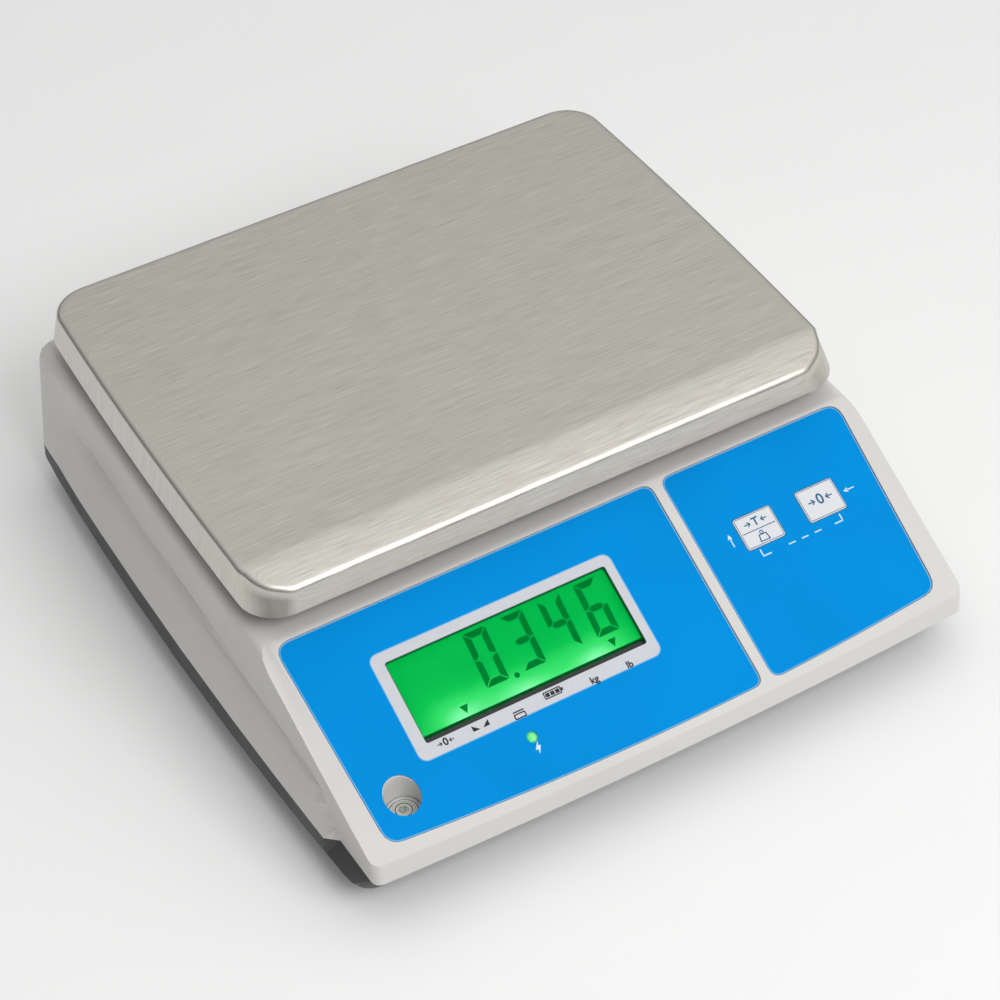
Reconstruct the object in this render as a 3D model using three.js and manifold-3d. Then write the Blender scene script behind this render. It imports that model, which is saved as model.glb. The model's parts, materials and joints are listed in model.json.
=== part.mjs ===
// Bench scale: a stainless lift-off pan on a load cell, in a two-part housing with a sloping fascia.
// Millimetres, +X right, +Y back, +Z up. The origin is on the bench under the middle of the scale.
import * as THREE from 'three';
import { mergeVertices } from 'three/addons/utils/BufferGeometryUtils.js';
import Module from 'manifold-3d';

const wasm = await Module();
wasm.setup();

// ---------------------------------------------------------------- driving dimensions
const GAP = 0.3;                        // clearance between pieces that touch

// pan
const PAN_Y = 48.2;                     // middle of the pan
const PAN_TOP = 109.8;
const PAN_RIM = 92.8;                   // lower edge of the skirt
const PAN_HALF_WIDTH = 149.9;           // at the corners of the rim; the sides bow out from there
const PAN_BOW = 2.5;
const PAN_HALF_DEPTH = 118.1;           // at the rim
const PAN_CORNER = 19;
const PAN_FLARE = 2.7;                  // how far the sides and the back spread from the top to the rim
const PAN_FRONT_FLARE = 2.7;
const PAN_SHEET = 1.4;
const PAN_BEND = 2.6;                   // radius where the top turns down into the skirt
const PAN_FALL = 6;                     // how far the front edge falls below the top
const PAN_FALL_LENGTH = 18.5;

// housing
const HALF_DEPTH = 170.1;
const DECK = 82;                        // flat top of the housing, under the pan
const PARTING = 24.4;                   // lower edge of the top housing
const SHOULDER = 5.5;
const WALL = 2.8;
const FRONT_BOW = 3.2;                  // the front edge is this much further back at its ends
const FRONT_LEAN = 0.08;
const SIDE_DRAFT = 0.02;
const FRONT_CORNER = 4.5;
const BASE_CORNER = 12;
const BACK_CORNER = 9;
const JOG_Y = -134;                     // where the side flare ends in a step
const REAR_WALL = [155.5, 162.9];       // half-width of the plain side wall at the back: top, parting line
const GROOVE_DEPTH = 1.8;               // soft crease along each side, where the flare begins
const GROOVE_SPREAD = 3.5;

// fascia
const CREST_Y = -68.4;
const SLOPE = THREE.MathUtils.degToRad(25.4);
const LABEL_TOP = -2.8;                 // top edge of both labels, down the slope from the crest
const LABEL_LENGTH = 99;                // at the outer corners; the lower edge bows further down
const LABEL_BOW = 5.9;
const LABEL_CORNER = 7.5;
const LABEL_DEPTH = 0.5;                // how far the label's face lies below the fascia
const LABEL_SHEET = 0.5;
const LABEL_HALF_TOP = 144.8;
const LABEL_HALF_BOTTOM = 139.8;
const LABEL_SPLIT = [43.2, 48.9];       // right edge of the left label, left edge of the right one
const WINDOW = { x: -49.95, down: 46.05, width: 110, length: 39.7 };
const KEY = { width: 20, length: 16, down: 39.3, travel: 0.4 };
const TARE_X = 79.2;
const ZERO_X = 112.7;
const LED = { x: -62.1, down: 82.4, r: 2.2 };
const VIAL = { x: -124.9, down: 81.6, r: 8.2, glassDepth: 9.8, height: 5 };

// base
const BASE_FLOOR = 12;
const BASE_EDGE = 16.9;                 // height where the base is widest
const FLOOR_SHEET = 3;
const FRONT_SLOPE = [6.6, 5.8, 1.6];      // setback of the base's front: middle, corners, parting line

// feet
const FOOT_X = 136;
const FOOT_Y = [-126, 138];
const FOOT_BOSS_TOP = 30;

// weighing frame and load cell
const CELL = { width: 30, length: 130, height: 22, bottom: 43.9 };
const CELL_END = 32;                    // length of the solid block at each end of the beam
const CELL_Y = 52.6;                    // middle of the beam
const CELL_FREE_Y = CELL_Y - CELL.length / 2 + CELL_END / 2;
const CELL_FIXED_Y = CELL_Y + CELL.length / 2 - CELL_END / 2;
const CELL_TRAVEL_GAP = 0.8;            // room for the beam's full deflection
const CELL_SCREW_SEAT = 21;
const HUB = { bottom: 91, height: 7 };
const BUSH = { x: 112, y: 82, r: 7 };

// battery and its door
const BATTERY = { x: -100, y: 50, width: 70, length: 101, height: 47, bottom: 20 };
const DOOR = { width: 80, length: 112, sheet: 2, slide: 12 };
const DOOR_PAD_TOP = 17;

// back panel
const SWITCH_X = 92;
const SOCKET_X = 60;
const PANEL_X = 77;
const PANEL_Z = 52;
const PANEL_Y = HALF_DEPTH - 2.4;       // floor of the recess that holds the switch and the inlet

// ---------------------------------------------------------------- materials
const finish = (color, roughness, metalness, extra = {}) =>
  new THREE.MeshStandardMaterial({ color, roughness, metalness, ...extra });
const STAINLESS = finish(0xb6b0a6, 0.34, 1);
const ALUMINIUM = finish(0xc9cacc, 0.45, 1);
const STEEL = finish(0xb9bbbf, 0.3, 1);
const ZINC_PLATE = finish(0xa9adb0, 0.4, 0.9);
const SHELL_GREY = finish(0xcdcbca, 0.55, 0);
const BASE_GREY = finish(0x3c3c3d, 0.6, 0);
const LABEL_BLUE = finish(0x0093e5, 0.4, 0);
const KEY_GREY = finish(0xd7d8dc, 0.45, 0);
const BLACK_PLASTIC = finish(0x1b1b1c, 0.5, 0);
const RUBBER = finish(0x222222, 0.9, 0);
const BOARD_GREEN = finish(0x14532d, 0.5, 0);
const CLEAR = finish(0xe8f4ee, 0.05, 0, { transparent: true, opacity: 0.35 });
const LCD_GREEN = finish(0x12c85a, 0.3, 0);
const LED_GREEN = finish(0xcfeec0, 0.3, 0);
const VIAL_GLASS = finish(0xdfe8d8, 0.1, 0);
const BATTERY_GREY = finish(0x55585c, 0.6, 0);
const CABLE_GREY = finish(0x9a9a9a, 0.6, 0);
const CABLE_RED = finish(0xb01818, 0.5, 0);

// ---------------------------------------------------------------- solids
function toSolid(geometry) {
  const bare = geometry.clone();
  bare.deleteAttribute('normal');
  bare.deleteAttribute('uv');
  const merged = mergeVertices(bare, 1e-4);
  return new wasm.Manifold(new wasm.Mesh({
    numProp: 3,
    vertProperties: new Float32Array(merged.attributes.position.array),
    triVerts: new Uint32Array(merged.index.array),
  }));
}

function toGeometry(solid) {
  const { vertProperties, triVerts } = solid.getMesh();
  const geometry = new THREE.BufferGeometry();
  geometry.setAttribute('position', new THREE.BufferAttribute(new Float32Array(vertProperties), 3));
  geometry.setIndex(new THREE.BufferAttribute(new Uint32Array(triVerts), 1));
  geometry.computeVertexNormals();
  return geometry;
}

const join = (first, ...others) => others.reduce((sum, other) => sum.add(other), first);
const cut = (first, ...others) => others.reduce((rest, other) => rest.subtract(other), first);

// A box centred on x, y that stands on z.
const boxGeometry = (w, d, h, x = 0, y = 0, z = 0) =>
  new THREE.BoxGeometry(w, d, h).translate(x, y, z + h / 2);
const box = (...sizes) => toSolid(boxGeometry(...sizes));

// A round bar along Z that stands on z; a different top radius makes a cone.
function rodGeometry(r, h, x = 0, y = 0, z = 0, sides = 24, topRadius = r) {
  return new THREE.CylinderGeometry(topRadius, r, h, sides).rotateX(Math.PI / 2).translate(x, y, z + h / 2);
}
const rod = (...sizes) => toSolid(rodGeometry(...sizes));

function roundedRect(w, h, r, x = 0, y = 0) {
  const shape = new THREE.Shape();
  const [left, right, low, high] = [x - w / 2, x + w / 2, y - h / 2, y + h / 2];
  shape.absarc(right - r, high - r, r, 0, Math.PI / 2);
  shape.absarc(left + r, high - r, r, Math.PI / 2, Math.PI);
  shape.absarc(left + r, low + r, r, Math.PI, 1.5 * Math.PI);
  shape.absarc(right - r, low + r, r, 1.5 * Math.PI, 2 * Math.PI);
  return shape;
}

function slabGeometry(shape, height, z = 0, curveSegments = 5) {
  const options = { depth: height, bevelEnabled: false, curveSegments };
  return new THREE.ExtrudeGeometry(shape, options).translate(0, 0, z);
}
const slab = (...sizes) => toSolid(slabGeometry(...sizes));

// A closed solid through rings of equal length, listed from the lowest to the highest.
function loft(rings) {
  const count = rings[0].length;
  const position = rings.flat().flatMap((point) => [point.x, point.y, point.z]);
  const index = [];
  for (let level = 0; level + 1 < rings.length; level += 1) {
    for (let i = 0; i < count; i += 1) {
      const a = level * count + i;
      const b = level * count + ((i + 1) % count);
      index.push(a, b, b + count, a, b + count, a + count);
    }
  }
  const top = (rings.length - 1) * count;
  const flat = (ring) => ring.map((point) => new THREE.Vector2(point.x, point.y));
  THREE.ShapeUtils.triangulateShape(flat(rings[0]), []).forEach(([a, b, c]) => index.push(a, c, b));
  THREE.ShapeUtils.triangulateShape(flat(rings.at(-1)), [])
    .forEach(([a, b, c]) => index.push(top + a, top + b, top + c));
  const geometry = new THREE.BufferGeometry();
  geometry.setAttribute('position', new THREE.Float32BufferAttribute(position, 3));
  geometry.setIndex(index);
  return toSolid(geometry);
}

// ---------------------------------------------------------------- assembly
const scale = new THREE.Group();
const fascia = new THREE.Group();       // x right, y up the slope, z out of the fascia; origin on the crest
fascia.position.set(0, CREST_Y, DECK);
fascia.rotation.x = SLOPE;
scale.add(fascia);
fascia.updateMatrix();

function add(parent, name, shape, material, x = 0, y = 0, z = 0) {
  const geometry = shape.isBufferGeometry ? shape : toGeometry(shape);
  const mesh = new THREE.Mesh(geometry, material);
  mesh.name = name;
  mesh.position.set(x, y, z);
  parent.add(mesh);
  return mesh;
}

// A cutter given in the fascia's own axes, moved to the scale's axes, and the other way round.
const onFascia = (geometry) => toSolid(geometry.applyMatrix4(fascia.matrix));
const fromFascia = (geometry) => toSolid(geometry.applyMatrix4(fascia.matrix.clone().invert()));

// The spirit level's well is upright, so it meets the sloping fascia in an ellipse.
const vialMouth = new THREE.Vector3(VIAL.x, LABEL_TOP - VIAL.down, 0).applyMatrix4(fascia.matrix);
const VIAL_SEAT = vialMouth.z - VIAL.glassDepth - VIAL.height;
const vialBore = (r, bottom) => rodGeometry(r, 40, vialMouth.x, vialMouth.y, bottom, 28);

// ---------------------------------------------------------------- housing outline
const bowed = (peak, fall, middle, y) => peak - fall * ((y - middle) / 100) ** 2;
const upperHalfWidth = (y) => bowed(153.8, 0.8, 60, y);
const partingHalfWidth = (y) => bowed(164.1, 1.5, 80, y);
const baseHalfWidth = (y) => bowed(166.2, 2.2, 60, y);

// Height of the soft groove where the side begins to flare out.
function grooveHeight(y) {
  const level = 46 + 0.026 * y;
  if (y > 110) return level + 8.5 * ((y - 110) / 60) ** 1.5;
  if (y > -112) return level;
  return Math.max(PARTING, level - (level - PARTING) * ((-112 - y) / 24) ** 1.8);
}

// Half-width of the top housing's outside at a height. The flare fades into a plain wall at the back.
function shellHalfWidth(y, z) {
  const wall = upperHalfWidth(y) + SIDE_DRAFT * (DECK - z);
  const groove = grooveHeight(y);
  let half = wall;
  if (z < groove && groove > PARTING) {
    const down = Math.min((groove - z) / (groove - PARTING), 1);
    const flare = (1.12 * down * down) / (down + 0.12);
    const reach = THREE.MathUtils.smoothstep(y, JOG_Y - 2.5, JOG_Y + 2.5);
    half += flare * reach * (partingHalfWidth(y) - wall);
  }
  const crease = THREE.MathUtils.smoothstep(y, JOG_Y, JOG_Y + 20);
  half -= crease * GROOVE_DEPTH * Math.exp(-(((z - groove) / GROOVE_SPREAD) ** 2));
  const plain = THREE.MathUtils.mapLinear(z, DECK, PARTING, ...REAR_WALL);
  return THREE.MathUtils.lerp(half, plain, THREE.MathUtils.smoothstep(y, 118, 150));
}

// Points down one side, closer together where the flare ends.
const SIDE_STATIONS = [
  -146, -141, -136.5, -134, -131.5, -127, -120, -110, -90, -50, 0, 50, 90, 115, 130, 145,
];

// One level ring around the housing, counter-clockwise from the front right corner.
function housingRing(halfWidth, z, inset, frontY, frontCorner = FRONT_CORNER) {
  const points = [];
  const corner = (x, y, r, from) => {
    for (let i = 0; i <= 4; i += 1) {
      const angle = from + (i * Math.PI) / 8;
      points.push(new THREE.Vector3(x + r * Math.cos(angle), y + r * Math.sin(angle), z));
    }
  };
  const rf = Math.max(frontCorner - inset, 1);
  const rb = Math.max(BACK_CORNER - inset, 1);
  const back = HALF_DEPTH - inset;
  const frontEnd = frontY(148);
  const cornerX = halfWidth(frontEnd + frontCorner) - inset;
  const backX = halfWidth(back) - inset;
  corner(cornerX - rf, frontEnd + inset + rf, rf, -Math.PI / 2);
  SIDE_STATIONS.forEach((y) => points.push(new THREE.Vector3(halfWidth(y) - inset, y, z)));
  corner(backX - rb, back - rb, rb, 0);
  corner(-backX + rb, back - rb, rb, Math.PI / 2);
  SIDE_STATIONS.toReversed().forEach((y) => points.push(new THREE.Vector3(inset - halfWidth(y), y, z)));
  corner(-cornerX + rf, frontEnd + inset + rf, rf, Math.PI);
  for (let i = -3; i <= 3; i += 1) {
    const x = (i * (cornerX - rf)) / 4;
    points.push(new THREE.Vector3(x, frontY(x) + inset, z));
  }
  return points;
}

const shellFront = (z) => (x) =>
  -HALF_DEPTH + FRONT_BOW * (x / 148) ** 2 + FRONT_LEAN * (z - PARTING);
const shellRing = (z, inset) =>
  housingRing((y) => shellHalfWidth(y, z), z, inset, shellFront(z));

// ---------------------------------------------------------------- fascia labels
const outerEdge = (down) =>
  LABEL_HALF_TOP - ((LABEL_HALF_TOP - LABEL_HALF_BOTTOM) * down) / LABEL_LENGTH;
const lowerEdge = (x) => LABEL_TOP - LABEL_LENGTH - LABEL_BOW * (1 - (x / LABEL_HALF_BOTTOM) ** 2);

// Outline of a label in the fascia's axes, grown by a margin; side is -1 for the left label.
function labelShape(side, grow) {
  const inner = (side < 0 ? LABEL_SPLIT[0] : LABEL_SPLIT[1]) - side * grow;
  const top = LABEL_TOP + grow;
  const r = LABEL_CORNER + grow;
  const edge = (down) => side * (outerEdge(down) + grow);
  const corners = [
    new THREE.Vector2(inner, top),
    new THREE.Vector2(edge(0), top),
    new THREE.Vector2(edge(LABEL_LENGTH), lowerEdge(LABEL_HALF_BOTTOM) - grow),
    new THREE.Vector2(inner, lowerEdge(inner) - grow),
  ];
  const along = (from, to, d) => from.clone().add(to.clone().sub(from).setLength(d));
  const shape = new THREE.Shape();
  const ends = corners.map((point, i) => {
    const before = along(point, corners[(i + 3) % 4], i === 3 || i === 0 ? r * 0.7 : r);
    const after = along(point, corners[(i + 1) % 4], i === 3 || i === 0 ? r * 0.7 : r);
    return [before, point, after];
  });
  shape.moveTo(ends[0][2].x, ends[0][2].y);
  [1, 2, 3, 0].forEach((i) => {
    const [before, point, after] = ends[i];
    if (i === 3) bowedEdge(shape, ends[2][2], before);
    else shape.lineTo(before.x, before.y);
    shape.quadraticCurveTo(point.x, point.y, after.x, after.y);
  });
  return shape;
}

// The labels' shared lower edge follows one long curve.
function bowedEdge(shape, from, to) {
  const steps = 6;
  const sagAt = (t) => {
    const x = THREE.MathUtils.lerp(from.x, to.x, t);
    const chord = THREE.MathUtils.lerp(lowerEdge(from.x), lowerEdge(to.x), t);
    return lowerEdge(x) - chord;
  };
  for (let i = 1; i <= steps; i += 1) {
    const t = i / steps;
    const y = THREE.MathUtils.lerp(from.y, to.y, t) + sagAt(t);
    shape.lineTo(THREE.MathUtils.lerp(from.x, to.x, t), y);
  }
}

const keyShape = (x, grow) =>
  roundedRect(KEY.width + 2 * grow, KEY.length + 2 * grow, 1.4 + grow, x, LABEL_TOP - KEY.down);
const windowShape = (grow) =>
  roundedRect(WINDOW.width + 2 * grow, WINDOW.length + 2 * grow, 1.2, WINDOW.x, LABEL_TOP - WINDOW.down);

// ---------------------------------------------------------------- top housing
const SHELL_POSTS = [[128, 102], [136, -92], [-128, 124], [-136, -92]];
const POST_RADIUS = 5;
const POST_BOTTOM = 22;

function shellSolid(inset, top, steps = 1) {
  const heights = steps > 1 ? [PARTING, 29, 34, 39, 42, 44, 46, 48, 50, 53, 60] : [PARTING - 1, 34, 46];
  const rings = [...heights, top - SHOULDER].map((z) => shellRing(z, inset));
  for (let i = 1; i <= steps; i += 1) {
    const angle = (i * Math.PI) / (2 * steps);
    const round = SHOULDER * (1 - Math.cos(angle));
    rings.push(shellRing(top - SHOULDER + SHOULDER * Math.sin(angle), inset + round));
  }
  const wedge = onFascia(boxGeometry(400, 400, 100, 0, -200, -inset));
  return cut(loft(rings), wedge);
}

function topHousing() {
  const overFascia = (shape, depth, from) => onFascia(slabGeometry(shape, depth, from, 4));
  const recess = LABEL_DEPTH + LABEL_SHEET + GAP;
  let shell = shellSolid(0, DECK, 3);
  shell = cut(shell, shellSolid(WALL, DECK - WALL));
  const posts = SHELL_POSTS.map(([x, y]) => rod(POST_RADIUS, 70, x, y, POST_BOTTOM, 16));
  const inside = shellSolid(WALL / 2, DECK - WALL / 2);
  shell = join(shell, ...posts.map((post) => post.intersect(join(inside, box(400, 400, 10, 0, 0, 15)))));
  const well = toSolid(vialBore(VIAL.r + 2, VIAL_SEAT - 2));
  shell = join(shell, well.intersect(inside), backPanelPad());
  return cut(
    shell,
    ...SHELL_POSTS.map(([x, y]) => rod(1.7, 16, x, y, POST_BOTTOM - 1, 10)),
    slab(roundedRect(46, 46, 6, 0, CELL_FREE_Y), 20, DECK - 10),
    overFascia(labelShape(-1, 0.4), 5, -recess),
    overFascia(labelShape(1, 0.4), 5, -recess),
    overFascia(windowShape(0), 10, -5),
    overFascia(keyShape(TARE_X, 0.4), 10, -5),
    overFascia(keyShape(ZERO_X, 0.4), 10, -5),
    onFascia(rodGeometry(LED.r + GAP, 10, LED.x, LABEL_TOP - LED.down, -5, 20)),
    toSolid(vialBore(VIAL.r, VIAL_SEAT)),
    box(70, 10, 26, PANEL_X, PANEL_Y + 5, PANEL_Z - 13),
    box(19.6, 40, 12.6, SWITCH_X, HALF_DEPTH, PANEL_Z - 6.3),
    toSolid(rodGeometry(5.6, 40, 0, 0, -20, 20).rotateX(Math.PI / 2)
      .translate(SOCKET_X, HALF_DEPTH, PANEL_Z)),
  );
}

// Thicker wall behind the recess that holds the switch and the inlet.
const backPanelPad = () => box(76, 6, 32, PANEL_X, HALF_DEPTH - 3.3, PANEL_Z - 16);

// ---------------------------------------------------------------- bottom housing
// The front of the base slopes back under the top housing, less so at its corners.
const baseFront = (z) => (x) => {
  const corner = THREE.MathUtils.smoothstep(Math.abs(x), 110, 150);
  const below = THREE.MathUtils.lerp(FRONT_SLOPE[0], FRONT_SLOPE[1], corner);
  return shellFront(PARTING)(x) + (z > BASE_EDGE ? FRONT_SLOPE[2] : below);
};

function baseSolid(inset, low) {
  const parting = PARTING - GAP;
  const rings = [
    housingRing(baseHalfWidth, low, 5 + inset, baseFront(low), BASE_CORNER),
    housingRing(baseHalfWidth, low + 1.4, 2 + inset, baseFront(low), BASE_CORNER),
    housingRing(baseHalfWidth, Math.max(BASE_EDGE, low + 2), inset, baseFront(low), BASE_CORNER),
    housingRing((y) => shellHalfWidth(y, PARTING), parting + (inset ? 1 : 0), inset, baseFront(parting)),
  ];
  return loft(rings);
}

const atFeet = (make) => FOOT_Y.flatMap((y) => [-1, 1].map((side) => make(side * FOOT_X, y)));
const doorSlot = () => {
  const { width, length, sheet, slide } = DOOR;
  const run = length + slide + 2 * GAP;
  const y = BATTERY.y + slide / 2;
  const depth = sheet + 1.6;
  const tabs = [-1, 1].flatMap((side) => [-1, 1].map((end) => box(
    6, 11, depth, BATTERY.x + side * (width / 2), BATTERY.y + slide + end * 36, BASE_FLOOR - 1)));
  return [
    box(width + 2 * GAP - 4, run, depth, BATTERY.x, y, BASE_FLOOR - 1),
    box(width + 2 * GAP, run, 1.6, BATTERY.x, y, BASE_FLOOR + sheet - 1),
    ...tabs,
  ];
};

function bottomHousing() {
  const hollow = baseSolid(WALL, BASE_FLOOR + FLOOR_SHEET);
  const bosses = atFeet((x, y) => rod(9, FOOT_BOSS_TOP - BASE_FLOOR, x, y, BASE_FLOOR, 20));
  const posts = SHELL_POSTS.map(([x, y]) => rod(6.5, POST_BOTTOM - BASE_FLOOR - GAP, x, y, BASE_FLOOR, 16));
  const tray = join(
    cut(baseSolid(0, BASE_FLOOR), hollow),
    ...bosses,
    ...posts,
    box(DOOR.width + 12, DOOR.length + DOOR.slide + 12, DOOR_PAD_TOP - BASE_FLOOR,
      BATTERY.x, BATTERY.y + DOOR.slide / 2, BASE_FLOOR),
    box(44, 128, 33 - BASE_FLOOR, 0, CELL_Y, BASE_FLOOR),
    box(8, 8, 33 - BASE_FLOOR, 60, -22, BASE_FLOOR),
    box(8, 8, 33 - BASE_FLOOR, 120, 42, BASE_FLOOR),
  );
  return cut(
    tray,
    ...atFeet((x, y) => rod(4.2, 30, x, y, BASE_FLOOR - 5, 20)),
    ...SHELL_POSTS.flatMap(([x, y]) => [
      rod(2, 20, x, y, BASE_FLOOR - 5, 12),
      rod(4.3, 8, x, y, BASE_FLOOR - 5, 16)]),
    ...doorSlot(),
    box(BATTERY.width + 4, BATTERY.length + 4, 10, BATTERY.x, BATTERY.y, BASE_FLOOR),
    box(34, 60, 40, 0, CELL_Y - 10, BASE_FLOOR + FLOOR_SHEET),
    ...[-9, 9].flatMap((dy) => [
      rod(3.4, 40, 0, CELL_FIXED_Y + dy, BASE_FLOOR - 5, 12),
      rod(6, CELL_SCREW_SEAT, 0, CELL_FIXED_Y + dy, 0, 16)]),
  );
}

// ---------------------------------------------------------------- pan
// One level ring around the pan. The skirt spreads downwards; inset moves the whole outline inwards.
function panRing(z, inset) {
  const rise = (z - PAN_RIM) / (PAN_TOP - PAN_RIM);
  const r = PAN_CORNER - inset;
  const back = PAN_HALF_DEPTH - inset - PAN_FLARE * rise;
  const front = PAN_HALF_DEPTH - inset - PAN_FRONT_FLARE * rise;
  const side = (y) => PAN_HALF_WIDTH - inset - PAN_FLARE * rise + PAN_BOW * (1 - (y / PAN_HALF_DEPTH) ** 2);
  const points = [];
  [[1, -1], [1, 1], [-1, 1], [-1, -1]].forEach(([sx, sy], quarter) => {
    const reach = sy < 0 ? front : back;
    const x = sx * (side(reach - r) - r);
    const y = sy * (reach - r);
    for (let i = 0; i <= 6; i += 1) {
      const angle = ((quarter - 1) * Math.PI) / 2 + (i * Math.PI) / 12;
      points.push(new THREE.Vector3(x + r * Math.cos(angle), PAN_Y + y + r * Math.sin(angle), z));
    }
    if (quarter % 2 === 0) {
      [-60, -20, 20, 60].forEach((dy) =>
        points.push(new THREE.Vector3(sx * side(dy), PAN_Y + sx * dy, z)));
    }
  });
  return points;
}

// Side view of the pan: flat, then a gentle fall, then a tight roll down into the front skirt.
function panSideView(inset) {
  const shape = new THREE.Shape();
  const front = PAN_Y - PAN_HALF_DEPTH + PAN_FRONT_FLARE + inset;
  const r = PAN_BEND - inset * 0.5;
  const top = (y) => {
    const t = THREE.MathUtils.clamp((front + PAN_FALL_LENGTH - y) / PAN_FALL_LENGTH, 0, 1);
    return PAN_TOP - inset - PAN_FALL * t ** 1.35;
  };
  shape.moveTo(200, PAN_RIM - 10);
  shape.lineTo(200, PAN_TOP - inset);
  for (let i = 0; i <= 5; i += 1) {
    const y = THREE.MathUtils.lerp(front + PAN_FALL_LENGTH, front + r, i / 5);
    shape.lineTo(y, top(y));
  }
  for (let i = 1; i <= 4; i += 1) {
    const angle = (i * Math.PI) / 8;
    shape.lineTo(front + r - r * Math.sin(angle), top(front + r) - r * (1 - Math.cos(angle)));
  }
  shape.lineTo(front - 5, PAN_TOP - 14);
  shape.lineTo(front - 5, PAN_RIM - 10);
  const view = new THREE.ExtrudeGeometry(shape, { depth: 400, bevelEnabled: false });
  return toSolid(view.rotateX(Math.PI / 2).rotateZ(Math.PI / 2).translate(-200, 0, 0));
}

function panSolid(inset) {
  const rings = [panRing(PAN_RIM - (inset ? 1 : 0), inset), panRing(PAN_TOP - inset - PAN_BEND, inset)];
  for (let i = 1; i <= 3; i += 1) {
    const angle = (i * Math.PI) / 6;
    const z = PAN_TOP - inset - PAN_BEND * (1 - Math.sin(angle));
    rings.push(panRing(z, inset + PAN_BEND * (1 - Math.cos(angle))));
  }
  return loft(rings).intersect(panSideView(inset));
}

add(scale, 'pan', cut(panSolid(0), panSolid(PAN_SHEET)), STAINLESS);

// ---------------------------------------------------------------- weighing frame
const ARM_TOP = HUB.bottom + HUB.height;
const SPIDER_SCREWS = [-9, 9];
const atBushes = (make) => [-1, 1].flatMap((sy) => [-1, 1].map((sx) =>
  make(sx * BUSH.x, PAN_Y + sy * BUSH.y, sx, sy)));

function spider() {
  const bar = (w, length, x, y, turn) => toSolid(
    boxGeometry(w, length, HUB.height, 0, 0, HUB.bottom).rotateZ(turn).translate(x, y, 0));
  const rails = [-1, 1].map((side) => bar(16, 2 * BUSH.y, side * BUSH.x, PAN_Y, 0));
  const crossBars = [-1, 1].map((side) =>
    bar(16, 2 * BUSH.x, 0, PAN_Y + side * (BUSH.y - 30), Math.PI / 2));
  const hubBars = [-16, 16].map((x) => bar(10, 104 + 30, x, PAN_Y - 8, 0));
  const pads = atBushes((x, y) => rod(10, HUB.height, x, y, HUB.bottom, 20));
  const hub = box(44, 40, HUB.height, 0, CELL_FREE_Y, HUB.bottom);
  const plate = join(...rails, ...crossBars, ...hubBars, ...pads, hub);
  return cut(
    plate,
    ...SPIDER_SCREWS.map((dy) => rod(3.4, 30, 0, CELL_FREE_Y + dy, HUB.bottom - 5, 16)),
    ...atBushes((x, y) => rod(4.3, 30, x, y, HUB.bottom - 5, 16)),
  );
}
add(scale, 'pan_spider', spider(), ALUMINIUM);

// A bush has a neck in the spider and a head that carries the pan.
const bushProfile = [[0, -HUB.height + 1], [4, -HUB.height + 1], [4, GAP], [BUSH.r, GAP], [BUSH.r, 5.5],
  [BUSH.r - 1.5, PAN_TOP - PAN_SHEET - GAP - ARM_TOP], [0, PAN_TOP - PAN_SHEET - GAP - ARM_TOP]];
const lathe = (profile, sides) =>
  new THREE.LatheGeometry(profile.map(([r, z]) => new THREE.Vector2(r, z)), sides).rotateX(Math.PI / 2);
atBushes((x, y, sx, sy) => {
  const name = `pan_bush_${sy < 0 ? 'front' : 'rear'}_${sx < 0 ? 'left' : 'right'}`;
  return add(scale, name, lathe(bushProfile, 16), RUBBER, x, y, ARM_TOP);
});

// Socket-head cap screw pointing down from the seat at its origin.
function capScrew(r, length) {
  return cut(
    join(rod(1.65 * r, 2 * r, 0, 0, GAP, 16), rod(r, length + 1, 0, 0, -length, 12)),
    rod(0.9 * r, r, 0, 0, GAP + r + 0.01, 6),
  );
}

const RISER_BOTTOM = CELL.bottom + CELL.height + CELL_TRAVEL_GAP;
const riser = cut(
  box(CELL.width, 30, HUB.bottom - GAP - RISER_BOTTOM, 0, CELL_FREE_Y, RISER_BOTTOM),
  ...SPIDER_SCREWS.map((dy) => rod(3.3, 20, 0, CELL_FREE_Y + dy, HUB.bottom - 14, 16)),
);
add(scale, 'cell_riser', riser, ALUMINIUM);
SPIDER_SCREWS.forEach((dy, i) =>
  add(scale, `spider_screw_${i + 1}`, capScrew(3, 19), STEEL, 0, CELL_FREE_Y + dy, ARM_TOP));

// ---------------------------------------------------------------- load cell
// Beam with two pairs of thin flexures: two round bores joined by a slot.
function loadCell() {
  const { width, length, height } = CELL;
  const bore = (y) => toSolid(rodGeometry(7.4, width + 10, 0, 0, -width / 2 - 5, 24)
    .rotateY(Math.PI / 2).translate(0, y, height / 2));
  return cut(
    box(width, length, height),
    bore(-19), bore(19),
    box(width + 10, 38, 5, 0, 0, height / 2 - 2.5),
    ...[-9, 9].map((dy) => rod(3, 14, 0, length / 2 - CELL_END / 2 + dy, -1, 12)),
  );
}
add(scale, 'load_cell', loadCell(), ALUMINIUM, 0, CELL_Y, CELL.bottom);

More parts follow.
